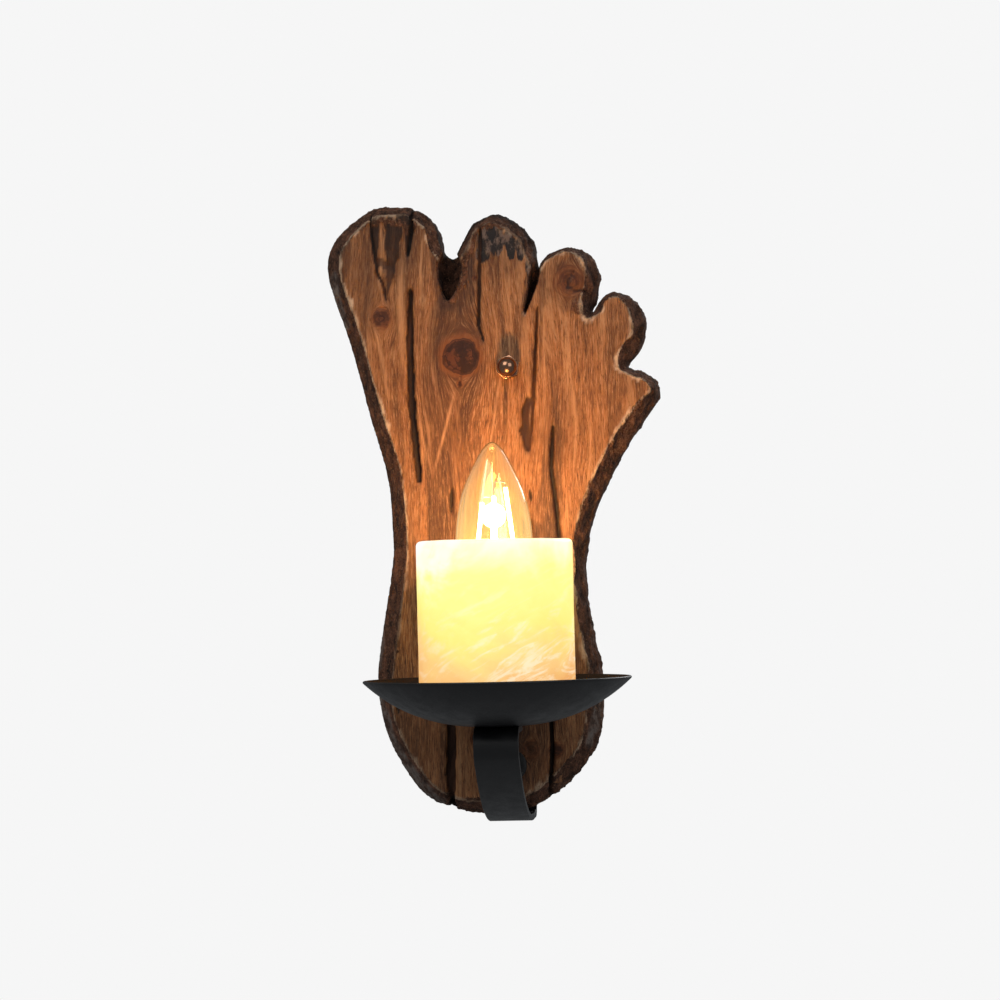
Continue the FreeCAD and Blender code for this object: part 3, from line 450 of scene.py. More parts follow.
    # painted shade: cracks, grooves, gouges and the darkest wedges turn near black inside
    hollow_shade = tree.attribute("hollow_shade")
    inside = tree.mix(tree.spread(broad, 0.46, 0.60), (0.009, 0.004, 0.0025), (0.060, 0.021, 0.009))
    wood = tree.mix(tree.spread(hollow_shade, 0.10, 0.75, 0.0, 0.96), wood, inside)
    tree.out("Base Color", wood)

    tree.out("Roughness", tree.spread(tree.plus(hewn, tree.times(fibre, 0.5)), 0.1, 1.2, 0.52, 0.88))
    tree.out("Specular IOR Level", 0.32)
    relief = tree.minus(tree.times(fibre, 0.55), tree.spread(pores, 0.60, 0.72, 0.0, 0.6))
    relief = tree.plus(relief, tree.times(streak, 0.6))
    smooth = tree.bump(relief, 0.42 * MM)
    rough = tree.times(hewn, tree.plus(chips, tree.times(grit, 0.6)))
    tree.out("Normal", tree.bump(rough, 1.1 * MM, smooth))
    return tree.material


def cup_finish(looks):
    """Cream resin with veins, with a painted glow for the bulb's light through it: white at the top, yellow
    below, orange at the foot.
    """
    tree = Tree("cream_resin", Roughness=0.36)
    tree.out("Specular IOR Level", 0.4)
    rising = tree.scaled((1.0, 1.0, 1.0), (0.0, 0.55, 0.0))
    veins = tree.noise(tree.scaled((34.0, 34.0, 60.0)), 1.0, 5.0, 0.62, 2.4)
    wisps = tree.noise(tree.scaled((34.0, 34.0, 165.0), source=rising), 1.0, 9.0, 0.70, 1.5)
    clouds = tree.noise(tree.scaled((20.0, 20.0, 24.0)), 1.0, 5.0, 0.55, 0.8)
    radius = (CUP_HIGH.x - CUP_LOW.x) / 2
    height = tree.spread(tree.axis(tree.place, "Z"), CUP_LOW.z, CUP_HIGH.z)
    height.node.interpolation_type = "LINEAR"
    across = tree.spread(tree.axis(tree.place, "X"), AXIS.x - radius, AXIS.x + radius)
    across.node.interpolation_type = "LINEAR"
    # painted shade: the glow turns more orange towards the cup's left and right sides
    edges = tree.times(tree.sum("POWER", tree.size(tree.minus(across, 0.5)), 2.0), 0.5)
    uneven = tree.times(tree.minus(clouds, 0.5), 0.75)
    uneven = tree.minus(uneven, edges)
    # painted glow: the emission stands in for the bulb's light shining through the resin
    glow = tree.ramp(tree.plus(height, uneven), [
        (0.00, (0.82, 0.33, 0.06)), (0.20, (0.92, 0.54, 0.15)), (0.46, (1.0, 0.82, 0.15)),
        (0.74, (1.0, 0.96, 0.24)), (0.94, (1.0, 0.99, 0.62))])
    milk = tree.times(tree.spread(wisps, 0.48, 0.64, 0.0, 0.62), tree.spread(height, 0.85, 0.25, 0.25, 1.0))
    milk = tree.times(milk, tree.spread(across, 0.0, 0.6, 0.55, 1.0))
    glow = tree.mix(milk, glow, (1.0, 0.88, 0.66))
    # painted highlight: the glow turns near white at the top, most on the left
    painted_bright_top = tree.minus(tree.plus(height, tree.times(clouds, 0.9)), tree.times(across, 0.28))
    glow = tree.mix(tree.spread(painted_bright_top, 1.13, 1.42), glow, (1.0, 1.0, 0.97))
    tree.out("Base Color", tree.mix(tree.spread(veins, 0.4, 0.6), tuple(looks.cup_cream),
                                    toned(looks.cup_cream, 0.86)))
    tree.out("Emission Color", glow)
    tree.out("Emission Strength", looks.cup_painted_glow)
    tree.out("Normal", tree.bump(tree.noise(tree.place, 180.0, 4.0), 0.12 * MM))
    return tree.material


def glass_finish(name, tint, painted_glow):
    """Clear glass, with a painted glow near the rods for the light it catches."""
    tree = Tree(name, Base_Color=tint, Roughness=0.0, IOR=1.45)
    tree.out("Transmission Weight", 1.0)
    # painted glow: orange light painted on the glass, strongest low down near the rods
    if painted_glow:
        height = tree.axis(tree.place, "Z")
        near = tree.spread(height, GLASS_HIGH.z - 46 * MM, GLASS_HIGH.z - 4 * MM, painted_glow, 0.045)
        tree.out("Emission Color", (1.0, 0.60, 0.16))
        tree.out("Emission Strength", near)
    return tree.material


def rod_finish():
    """The glowing rods of the bulb."""
    tree = Tree("glowing_rod", Base_Color=(1.0, 0.85, 0.5), Roughness=0.5)
    grains = tree.noise(tree.place, 1800.0, 2.0)
    glow = tree.mix(tree.spread(grains, 0.35, 0.65), (1.0, 0.78, 0.42), (1.0, 0.86, 0.55))
    tree.out("Emission Color", glow)
    tree.out("Emission Strength", 26.0)
    return tree.material


# Plain finishes: colour, metallic, roughness, grain and relief of the surface, and how uneven its tone is.
PLAIN = {
    "zinc_steel": ((0.50, 0.51, 0.53), 1.0, 0.34, 900.0, 0.012),
    "black_nickel": ((0.36, 0.19, 0.115), 1.0, 0.20, 700.0, 0.006),
    "tinned_brass": ((0.60, 0.57, 0.48), 1.0, 0.32, 800.0, 0.01),
    "white_ceramic": ((0.80, 0.78, 0.73), 0.0, 0.16, 400.0, 0.02, 0.05),
    "nickel_shell": ((0.62, 0.60, 0.57), 1.0, 0.26, 700.0, 0.01),
    "contact_bronze": ((0.62, 0.36, 0.19), 1.0, 0.30, 700.0, 0.01),
    "terminal_brass": ((0.70, 0.52, 0.22), 1.0, 0.30, 700.0, 0.01),
    "nickel_wire": ((0.32, 0.30, 0.28), 1.0, 0.35, 2000.0, 0.005),
    "black_glass": ((0.012, 0.012, 0.014), 0.0, 0.12, 500.0, 0.01),
    "solder": ((0.55, 0.55, 0.56), 1.0, 0.40, 1200.0, 0.03),
    "black_rubber": ((0.016, 0.016, 0.016), 0.0, 0.62, 1600.0, 0.03, 0.3),
    "white_nylon": ((0.74, 0.72, 0.67), 0.0, 0.42, 900.0, 0.02, 0.05),
}


def finishes(looks):
    """Every material, by its slot in the record."""
    made = {name: plain_finish(name, *values) for name, values in PLAIN.items()}
    made["black_iron"] = plain_finish("black_iron", tuple(looks.iron), 0.0, 0.44, 1500.0, 0.045, 0.25)
    made["pine"] = wood_finish(looks)
    made["cream_resin"] = cup_finish(looks)
    made["clear_glass"] = glass_finish("clear_glass", (1.0, 0.965, 0.86), 0.17)
    made["stem_glass"] = glass_finish("stem_glass", (0.95, 0.97, 0.96), 0.0)
    made["glowing_rod"] = rod_finish()
    made["brown_pvc"] = lead_finish("brown_pvc", (0.075, 0.028, 0.012))
    made["blue_pvc"] = lead_finish("blue_pvc", (0.012, 0.085, 0.36))
    made["green_yellow_pvc"] = lead_finish("green_yellow_pvc", (0.030, 0.20, 0.030), (0.72, 0.52, 0.03))
    return made


# ---------------------------------------------------------------- mesh helpers
def linked(name, data):
    """A new object in the scene."""
    piece = bpy.data.objects.new(name, data)
    bpy.context.scene.collection.objects.link(piece)
    return piece


def finished(name, mesh, node, materials):
    """Links a piece's mesh, gives it its material and body, and lets it stand for its CAD node."""
    mesh.polygons.foreach_set("use_smooth", [True] * len(mesh.polygons))
    piece = linked(name, mesh)
    slot = SLOTS[node]
    mesh.materials.clear()
    mesh.materials.append(materials[slot])
    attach(piece, BODIES[node])
    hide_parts(node)
    return piece


def to_mesh(name, bm):
    """A mesh from a closed shape, with its normals outwards."""
    bmesh.ops.remove_doubles(bm, verts=bm.verts, dist=1e-6)
    bmesh.ops.recalc_face_normals(bm, faces=bm.faces)
    mesh = bpy.data.meshes.new(name)
    bm.to_mesh(mesh)
    bm.free()
    return mesh


def chain(bm, places, closed):
    """Edges through points, and back to the first when closed."""
    verts = [bm.verts.new(place) for place in places]
    edges = [bm.edges.new(pair) for pair in zip(verts, verts[1:])]
    if closed:
        edges.append(bm.edges.new((verts[-1], verts[0])))
    return verts + edges


def turned(name, profile, steps, closed=True):
    """A solid turned round the lamp's axis from (radius, height) points; open ones end on the axis."""
    bm = bmesh.new()
    outline = chain(bm, [(AXIS.x + radius, AXIS.y, height) for radius, height in profile], closed)
    bmesh.ops.spin(bm, geom=outline, cent=(AXIS.x, AXIS.y, 0), axis=(0, 0, 1), angle=math.tau,
                   steps=steps, use_merge=True)
    return to_mesh(name, bm)


def curve_through(points, each):
    """Points on a smooth curve through the given (radius, height) points, some to each stretch."""
    ends = [points[0]] + list(points) + [points[-1]]
    places = []
    for before, start, end, after in zip(ends, ends[1:], ends[2:], ends[3:]):
        for step in range(each):
            t = step / each
            places.append(tuple(
                0.5 * (2 * b + (c - a) * t + (2 * a - 5 * b + 4 * c - d) * t ** 2
                       + (3 * b - a - 3 * c + d) * t ** 3)
                for a, b, c, d in zip(before, start, end, after)))
    places.append(points[-1])
    return places


def arc(centre, radius, start, end, steps):
    """Points on a circle, in (radius, height), with angles in degrees."""
    return [(centre[0] + radius * math.cos(math.radians(start + (end - start) * i / steps)),
             centre[1] + radius * math.sin(math.radians(start + (end - start) * i / steps)))
            for i in range(steps + 1)]


def softened(node, materials, width):
    """A merged copy of a CAD node with rounded edges and smooth faces, which stands for it."""
    crease = math.radians(32.0)
    bm = bmesh.new()
    bm.from_mesh(frame["nodes"][node].data)
    bmesh.ops.remove_doubles(bm, verts=bm.verts, dist=1e-6)
    bmesh.ops.dissolve_limit(bm, angle_limit=math.radians(0.2), verts=bm.verts, edges=bm.edges)
    mesh = bpy.data.meshes.new(node)
    bm.to_mesh(mesh)
    bm.free()
    piece = finished(node + "_piece", mesh, node, materials)
    if width:
        bevel = piece.modifiers.new("rounded edges", "BEVEL")
        bevel.width = width * MM
        bevel.segments = 2
        bevel.limit_method = "ANGLE"
        bevel.angle_limit = crease
        bevel.harden_normals = True
    else:
        piece.data.set_sharp_from_angle(angle=crease)
    return piece


# ---------------------------------------------------------------- the board
def along(points, places):
    """Distance from each (x, z) place to a line of points, and how far down the line it is."""
    best = np.full(len(places), 1e9)
    share = np.zeros(len(places))
    count = len(points) - 1
    for index, (start, end) in enumerate(zip(points, points[1:])):
        start, end = np.array(start), np.array(end)
        run = end - start
        t = np.clip((places - start) @ run / (run @ run), 0.0, 1.0)
        distance = np.linalg.norm(places - start - t[:, None] * run, axis=1)
        nearer = distance < best
        best[nearer] = distance[nearer]
        share[nearer] = (index + t[nearer]) / count
    return best, share


def fractal(places, octaves=3):
    """Noise at each place, about -1 to 1."""
    return np.array([noise.fractal(Vector(place), 1.0, 2.0, octaves) for place in places])


def step_up(value, low, high):
    """A smooth step from 0 at low to 1 at high."""
    t = np.clip((value - low) / (high - low), 0.0, 1.0)
    return t * t * (3 - 2 * t)


def remeshed_board(step):
    """The CAD board as an even mesh, finer across the grain than along it."""
    bm = bmesh.new()
    bm.from_mesh(frame["nodes"]["foot_board"].data)
    bmesh.ops.remove_doubles(bm, verts=bm.verts, dist=1e-6)
    stretch = Vector((1.0, 0.70, 0.47))
    bmesh.ops.scale(bm, vec=stretch, verts=bm.verts)
    mesh = bpy.data.meshes.new("board source")
    bm.to_mesh(mesh)
    bm.free()
    source = linked("board source", mesh)
    even = source.modifiers.new("even mesh", "REMESH")
    even.mode = "VOXEL"
    even.voxel_size = step
    graph = bpy.context.evaluated_depsgraph_get()
    made = bpy.data.meshes.new_from_object(source.evaluated_get(graph))
    bpy.data.objects.remove(source)
    made.transform(Matrix.Diagonal((1 / stretch.x, 1 / stretch.y, 1 / stretch.z, 1.0)))
    made.name = "foot_board"
    return made


class BoardPoints:
    """The board's points in millimetres: their places, facing and noise of four sizes."""

    def __init__(self, mesh):
        self.count = len(mesh.vertices)
        places = np.zeros(self.count * 3)
        mesh.vertices.foreach_get("co", places)
        self.places = places.reshape(-1, 3) / MM
        self.normals = np.array([v.normal for v in mesh.vertices])
        # places on the front, measured from the lamp's own middle plane
        self.flat = self.places[:, [0, 2]] - (AXIS.x / MM, 0.0)
        self.across, self.up = self.flat[:, 0], self.flat[:, 1]
        self.depth = self.places[:, 1] - BOARD_LOW.y / MM
        self.to_wall = BOARD_HIGH.y / MM - self.places[:, 1]
        self.low = fractal(self.places * (0.05, 0.05, 0.03))
        self.mid = fractal(self.places * (0.16, 0.16, 0.09))
        self.fine = fractal(self.places * (0.42, 0.42, 0.22))
        self.grit = fractal(self.places * (0.9, 0.9, 0.55), 2)
        self.crease = self.from_crease()
        self.mark_surfaces()

    def from_crease(self):
        """Distance over the front from the crease where it meets the bevel."""
        rim = self.flat[(self.depth > 0.9) & (self.depth < 3.5) & (self.normals[:, 1] < -0.2)]
        tree = kdtree.KDTree(len(rim))
        for index, (x, z) in enumerate(rim):
            tree.insert((x, 0.0, z), index)
        tree.balance()
        crease = np.array([tree.find((x, 0.0, z))[2] for x, z in self.flat])
        return np.where(self.depth < 0.9, crease, 0.0)

    def mark_surfaces(self):
        """How far each point is clear of the wall, faces the front, is hewn, or is on the flat front."""
        facing_y = self.normals[:, 1]
        self.outer = step_up(self.to_wall, 1.0, 4.0)
        self.facing = step_up(-facing_y, -0.2, 0.35)
        on_front = step_up(-self.depth, -0.9, -0.35) * step_up(-facing_y, 0.7, 0.95)
        self.open_side = np.maximum(self.facing, self.outer * (np.abs(facing_y) < 0.5))
        wall = np.linalg.norm(self.normals[:, [0, 2]], axis=1) > 0.5
        self.open_side[wall & self.in_pockets()] = 0.0
        rough = np.zeros(self.count)
        torn = fractal(self.places * (0.30, 0.30, 0.16))
        for line, half in HEWN_FRONT:
            distance = along(line, self.flat)[0]
            rough = np.maximum(rough, step_up(half * (1 + 1.1 * torn) - distance, -0.5, 0.5))
        self.hewn = np.maximum((1 - on_front) * self.open_side, 0.95 * rough * on_front)
        self.on_front = on_front * (1 - rough)

    def in_pockets(self):
        """Whether a point is in a hole or pocket cut from behind, away from the foot's own edge."""
        beside = np.abs(self.across)
        holes = (beside < 24) & (self.up > -146) & (self.up < 68) & (self.depth > 3)
        arm_recess = (beside < 12) & (self.up <= -146) & (self.to_wall < 5)
        return holes | arm_recess


def worn_and_highlit_edge(board):
    """The rubbed, pale edge of the front, partly a painted highlight, strongest down the two long sides."""
    across, up = board.flat.T
    ragged = (1.0 + 1.4 * (across > 0) * (up < -30)) * board.mid
    width = 1.3 + 1.2 * ragged + 0.7 * board.fine
    worn_and_highlit = step_up(width - board.crease, -0.5, 0.5) * (board.depth < 0.9) * (board.normals[:, 1] < -0.5)
    left = np.maximum(step_up(up, -60.0, -25.0), 0.45 * step_up(-up, 95.0, 112.0))
    right = np.maximum(step_up(up, -95.0, 20.0), 0.60 * step_up(-up, 28.0, 42.0))
    side = np.where(across < 0, left, right)
    strength = 0.30 + 0.70 * side * (0.65 + 0.35 * step_up(board.low, -0.4, 0.2))
    between_toes = (np.abs(across + 2) < 19) & (up > 70)
    return worn_and_highlit * strength * (1 - 0.65 * between_toes)


def knots_and_grain(board):
    """The knots, the rings round them, their swirling grain, and the grain's flow past them."""
    across, up = board.flat.T
    flow = across.copy()
    knot = np.zeros(board.count)
    ring = np.zeros(board.count)
    swirl = board.places.copy()
    for x, z, core, halo, dark in KNOTS:
        square = np.maximum((across - x) ** 2 + ((up - z) * 0.62) ** 2, (core * 0.9) ** 2)
        flow -= (across - x) * (core * 0.95) ** 2 / square
        away = np.hypot(across - x, up - z) + 0.10 * core * (board.mid + board.fine)
        knot = np.maximum(knot, step_up(core - away, -0.12 * core, 0.12 * core) * dark)
        ring = np.maximum(ring, step_up(halo - away, 0.0, halo - core) * dark)
        near = away < halo
        turn = np.arctan2(up[near] - z, across[near] - x)
        swirl[near] = np.stack([away[near] * 1.6, turn * 0.8, np.full(near.sum(), x)], axis=1)
    flow += 1.6 * fractal(board.places * (0.02, 0.02, 0.012)) + 0.5 * board.low
    return knot, ring, swirl, flow


def cracks(board):
    """How deep the grooves are cut, and how much painted shade darkens them inside."""
    cut = np.zeros(board.count)
    hollow_shade = np.zeros(board.count)
    for line, half, down, dark in GROOVES:
        distance, share = along(line, board.flat)
        swell = np.sin(np.pi * np.clip(0.08 + 0.84 * share, 0, 1)) ** 0.5
        width = half * (0.35 + 0.65 * swell) * (1 + 0.35 * board.fine) + 0.15 * board.grit
        here = step_up(width - distance, -0.45, 0.45)
        cut = np.maximum(cut, here * down)
        hollow_shade = np.maximum(hollow_shade, here * dark)
    return cut, hollow_shade


def pale_lines(board):
    """Pale lines of the grain, which fade towards their ends."""
    pale = np.zeros(board.count)
    for line, half in PALE_LINES:
        distance, share = along(line, board.flat)
        fade = np.sin(np.pi * np.clip(share, 0.02, 0.98)) ** 0.6
        pale = np.maximum(pale, step_up(half * 1.6 - distance, 0.0, half * 1.6) * fade * 0.8)
    return pale


def blots(board, marks, uneven, reach, soft):
    """Soft blots with an uneven edge."""
    shade = np.zeros(board.count)
    for x, z, wide, tall, dark in marks:
        away = np.hypot((board.across - x) / wide, (board.up - z) / tall) + uneven
        shade = np.maximum(shade, step_up(reach - away, 0.0, soft) * dark)
    return shade


def carved_board(looks, materials):
    """The foot: its marks as relief, and stored on its points for its finish."""
    mesh = remeshed_board(looks.board_step)
    board = BoardPoints(mesh)
    low, mid, fine, grit = board.low, board.mid, board.fine, board.grit
    depth, hewn, on_front = board.depth, board.hewn, board.on_front

    worn_and_highlit = worn_and_highlit_edge(board)
    knot, ring, swirl, flow = knots_and_grain(board)
    cut, hollow_shade = cracks(board)
    char = blots(board, CHARRED, 0.30 * mid + 0.20 * fine, 1.15, 0.7)
    stain = blots(board, STAINED, 0.35 * mid + 0.15 * fine, 1.2, 0.9)
    for line, half, dark in WEDGES:
        distance, share = along(line, board.flat)
        side = half * (1 - share ** 1.6) * (1 + 0.30 * fine)
        here = step_up(side - distance, -0.25, 0.35)
        stain = np.maximum(stain, here * dark)
        # the darkest wedges are also roughened and get painted shade, as in a hollow
        if dark > 0.9:
            hewn = np.maximum(hewn, 0.32 * here * on_front)
            hollow_shade = np.maximum(hollow_shade, 0.48 * here * on_front)
    bevel_grey = np.zeros(board.count)
    for line, half in BEVEL_GREYS:
        distance = along(line, board.flat)[0]
        bevel_grey = np.maximum(bevel_grey, step_up(half * (1 + 0.5 * mid) - distance, -1.0, 1.0) * hewn)

    # the walls of the gouges between the toes get painted shade, as they lie in shade
    gouged = (depth > 3.0) & (board.normals[:, 1] > -0.6) & (board.open_side > 0)
    gouged &= (board.up > 60) & (np.abs(board.across) < 32)
    hollow_shade = np.maximum(hollow_shade, gouged * step_up(depth, 2.0, 8.0) * 0.6)

    # relief along the normals: fine ridges on the front, a rough bevel, a soft crease and the cuts
    ridges = fractal(np.stack([flow * 0.62, depth * 0.05, board.up * 0.022], axis=1), 4)
    move = on_front * (0.20 * ridges * step_up(board.crease, 0.0, 2.0) + 0.12 * fine + 0.10 * mid)
    move += hewn * (0.55 * mid + 0.40 * fine + 0.28 * grit)
    move -= on_front * (1 - step_up(board.crease, 0.0, 1.6)) * (0.5 + 0.3 * fine)
    knot_x, knot_z = KNOTS[0][:2]
    raised = np.exp(-((board.across - knot_x) ** 2 + (board.up - knot_z) ** 2) / 60.0)
    move += on_front * 0.5 * raised
    move -= cut * board.facing * board.open_side
    move *= board.outer
    lengthwise = 0.5 * fractal(board.places[:, ::-1] * 0.16)
    shift = np.stack([0.55 * mid + 0.3 * fine, np.zeros(board.count), lengthwise], axis=1)
    shift *= (hewn * board.outer)[:, None]
    placed = board.places + board.normals * move[:, None] + shift
    placed[:, 1] = np.minimum(placed[:, 1], BOARD_HIGH.y / MM)
    past_box = 0.8
    placed = np.clip(placed, np.array(BOARD_LOW) / MM - past_box, np.array(BOARD_HIGH) / MM + past_box)
    mesh.vertices.foreach_set("co", (placed * MM).ravel())
    mesh.update()

    shares = {"worn_and_highlit": worn_and_highlit, "hewn": hewn, "knot": knot, "ring": ring, "hollow_shade": hollow_shade,
              "pale": pale_lines(board), "char": char, "stain": stain, "bevel_grey": bevel_grey}
    for name, values in shares.items():
        layer = mesh.attributes.new(name, "FLOAT", "POINT")
        layer.data.foreach_set("value", np.clip(values, 0, 1))
    grain = np.stack([flow, board.places[:, 1], board.up], axis=1)
    for name, values in (("grain", grain), ("swirl", swirl)):
        layer = mesh.attributes.new(name, "FLOAT_VECTOR", "POINT")
        layer.data.foreach_set("vector", (values * MM).ravel())
    return finished("foot", mesh, "foot_board", materials)


# ---------------------------------------------------------------- turned pieces
def saucer(looks, materials):
    """The spun iron saucer, with a rolled edge and a hole for the nipple."""
    radius = (SAUCER_HIGH.x - SAUCER_LOW.x) / 2
    wall, flat, hole = 1.2 * MM, 9.5 * MM, 5.2 * MM
    depth = SAUCER_HIGH.z - SAUCER_LOW.z
    bow = ((radius - flat) ** 2 + depth ** 2) / (2 * depth)
    lean = math.degrees(math.asin((radius - flat) / bow))
    middle = (flat, SAUCER_LOW.z + bow)
    under = arc(middle, bow, -90, -90 + lean, 40)
    over = arc(middle, bow - wall, -90 + lean, -90, 40)
    tip_out, tip_in = Vector(under[-1]), Vector(over[0])
    centre = (tip_out + tip_in) / 2
    across = (tip_out - tip_in) / 2
    along_rim = Vector((-across.y, across.x))
    rim = [tuple(centre + across * math.cos(a) * 0.98 + along_rim * math.sin(a))
           for a in (math.pi * i / 6 for i in range(1, 6))]
    profile = [(hole, SAUCER_LOW.z)] + under + rim + over + [(hole, SAUCER_LOW.z + wall)]
    mesh = turned("saucer_dish", profile, looks.round_steps)
    return finished("saucer_dish", mesh, "saucer", materials)


def cup(looks, materials):
    """The cast cup: soft top edge, a small foot radius, and the slight unevenness of a casting."""
    radius = (CUP_HIGH.x - CUP_LOW.x) / 2
    wall, floor, edge, foot, hole = 5 * MM, 5 * MM, 2.2 * MM, 0.8 * MM, 5.2 * MM
    low, high = CUP_LOW.z, CUP_HIGH.z
    straight = high - edge - low - foot
    sides = [(radius, low + foot + straight * i / 24) for i in range(1, 24)]
    inside = [(radius - wall, high - edge - (straight - floor) * i / 20) for i in range(1, 20)]
    profile = ([(hole, low)] + [(hole + (radius - foot - hole) * i / 6, low) for i in range(1, 6)]
               + arc((radius - foot, low + foot), foot, -90, 0, 4) + sides
               + arc((radius - edge, high - edge), edge, 0, 90, 6)
               + arc((radius - wall + edge, high - edge), edge, 90, 180, 6) + inside
               + arc((radius - wall - foot, low + floor + foot), foot, 0, -90, 3)
               + [(hole, low + floor)])
    mesh = turned("cup_shell", profile, looks.round_steps + 32)
    for vertex in mesh.vertices:
        place = vertex.co - Vector((AXIS.x, AXIS.y, 0))
        out = Vector((place.x, place.y, 0))
        share = noise.fractal(vertex.co * 38.0, 1.0, 2.0, 3)
        near_top = max(0.0, min(1.0, (vertex.co.z - low - 8 * MM) / (12 * MM)))
        if out.length > radius - wall * 1.2:
            vertex.co += out.normalized() * share * 0.16 * MM * near_top
            if vertex.co.z > high - edge:
                vertex.co.z += share * 0.30 * MM
    return finished("cup_shell", mesh, "candle_cup", materials)


def envelope(materials):
    """The bulb's candle-shaped glass, a thin blown wall that ends in a small rounded tip."""
    top = GLASS_HIGH.z
    below = [(6.3, 74.5), (6.4, 72.0), (7.8, 69.0), (11.0, 65.0), (14.6, 59.0), (16.8, 53.0), (17.4, 47.0),
             (17.2, 41.0), (16.5, 34.0), (15.2, 26.8), (13.0, 19.7), (9.8, 12.5), (6.0, 5.4), (3.9, 2.4),
             (2.0, 0.7), (0.9, 0.15)]
    outer = curve_through([(r * MM, top - z * MM) for r, z in below], 6)
    thick = 0.55 * MM
    inner = []
    for before, place, after in zip(outer, outer[1:], outer[2:]):
        run = Vector((after[0] - before[0], after[1] - before[1])).normalized()
        inner.append((max(0.0, place[0] - thick * run.y), place[1] + thick * run.x))
    inner = [place for place in inner if place[0] > 0.5 * MM]
    inner = [(outer[0][0] - thick, outer[0][1])] + inner + [(0.0, inner[-1][1] - 0.05 * MM)]
    profile = inner[::-1] + outer + [(0.0, top)]
    mesh = turned("glass_envelope", profile, 96, closed=False)
    return finished("glass_envelope", mesh, "bulb_glass", materials)


# Pieces kept in their CAD shape: node and the width of its rounded edges in millimetres.
WALL_FIXINGS = {"wall_bracket": 0.3, "mounting_studs": 0.3, "stud_locknuts": 0.25, "dome_nuts": 0.25}
ARM_PIECES = {"arm": 0.35, "arm_screws": 0.15}
CLAMPED_STACK = {
    "threaded_nipple": 0.2, "earth_tag": 0.12, "toothed_washer": 0.1, "nipple_locknut": 0.3,
    "seat_spacer": 0.25, "cup_washer": 0.2}
LAMPHOLDER = {
    "holder_base": 0.25, "holder_body": 0.5, "holder_shell": 0.0, "holder_contact": 0.08,
    "holder_terminals": 0.15, "holder_screws": 0.12}
BULB_INSIDE = {"bulb_stem": 0.0, "led_filaments": 0.2, "filament_wires": 0.0}
BULB_CAP = {"bulb_cap": 0.0, "cap_insulator": 0.0, "cap_contact": 0.0}
LEADS = {"live_lead": 0.0, "neutral_lead": 0.0, "earth_lead": 0.0, "lead_grommet": 0.4}
WALL_TERMINALS = {
    "terminal_block": 0.4, "terminal_clamps": 0.12, "terminal_screws": 0.12, "block_screw": 0.15}


def finish_group(group, materials, casts_shadow=True):
    """Rounds and finishes every piece of a group."""
    for node, width in group.items():
        piece = softened(node, materials, width)
        piece.visible_shadow = casts_shadow


# ---------------------------------------------------------------- stage
def camera():
    """The camera, a little right of the lamp's middle, looking slightly up."""
    data = bpy.data.cameras.new("camera")
    data.lens = 108.0
    data.sensor_width = 36.0
    piece = linked("camera", data)
    right = Vector((0.99674, 0.07745, -0.02267))
    up = Vector((0.02518, -0.03147, 0.99919))
    forward = Vector((-0.0767, 0.9965, 0.0333))
    turn = Matrix((right, up, -forward)).transposed()
    piece.matrix_world = Matrix.Translation((AXIS.x + 0.1061, -1.4368, -0.0593)) @ turn.to_4x4()
    bpy.context.scene.camera = piece


def area_light(name, place, target, size, power, colour=(1.0, 1.0, 1.0)):
    """A soft square light aimed at a point."""
    data = bpy.data.lights.new(name, "AREA")
    data.shape = "RECTANGLE"
    data.size, data.size_y = size
    data.energy = power
    data.color = colour
    piece = linked(name, data)
    piece.location = place
    aim = Vector(target) - Vector(place)
    piece.rotation_euler = aim.to_track_quat("-Z", "Y").to_euler()


PALE = (0.922, 0.922, 0.922)


def stage(looks):
    """A pale floor far below, an even pale surround, soft lights, and the bulb's own light."""
    camera()
    scene = bpy.context.scene
    scene.view_settings.view_transform = "Standard"
    world = bpy.data.worlds.new("studio")
    scene.world = world
    world.use_nodes = True
    nodes, links = world.node_tree.nodes, world.node_tree.links
    pale, soft = nodes["Background"], nodes.new("ShaderNodeBackground")
    pale.inputs["Color"].default_value = (*PALE, 1.0)
    soft.inputs["Color"].default_value = (0.92, 0.96, 1.0, 1.0)
    soft.inputs["Strength"].default_value = 0.20
    seen = nodes.new("ShaderNodeLightPath")
    both = nodes.new("ShaderNodeMixShader")
    links.new(seen.outputs["Is Camera Ray"], both.inputs[0])
    links.new(soft.outputs["Background"], both.inputs[1])
    links.new(pale.outputs["Background"], both.inputs[2])
    links.new(both.outputs["Shader"], nodes["World Output"].inputs["Surface"])

    bm = bmesh.new()
    bmesh.ops.create_grid(bm, x_segments=8, y_segments=8, size=20.0)
    bmesh.ops.translate(bm, vec=(0, 0, BOARD_LOW.z - 0.45), verts=bm.verts)
    mesh = bpy.data.meshes.new("floor")
    bm.to_mesh(mesh)
    bm.free()
    floor = linked("floor", mesh)
    tree = Tree("pale_floor", Base_Color=(0.0, 0.0, 0.0), Roughness=1.0)
    tree.out("Specular IOR Level", 0.0)
    tree.out("Emission Color", PALE)
    tree.out("Emission Strength", 1.0)
    mesh.materials.append(tree.material)
    floor.visible_diffuse = floor.visible_glossy = False

    area_light("key", (-0.55, -1.10, 0.95), (0.0, -0.02, 0.02), (0.95, 0.95), 7.5, (1.0, 0.98, 0.95))
    area_light("fill", (0.85, -1.15, 0.55), (0.0, -0.02, 0.0), (0.9, 0.9), 4.6, (0.97, 0.98, 1.0))
    area_light("back", (0.7, 1.3, 0.7), (0.0, 0.0, 0.0), (0.8, 0.8), 9.0)
    glow = bpy.data.lights.new("bulb glow", "POINT")
    glow.energy = looks.bulb_light
    glow.color = tuple(looks.bulb_tint)
    glow.shadow_soft_size = 0.006
    lamp = linked("bulb glow", glow)
    lamp.location = (AXIS.x, AXIS.y, GLASS_HIGH.z - 33 * MM)


# ---------------------------------------------------------------- the add-on
MADE = {}


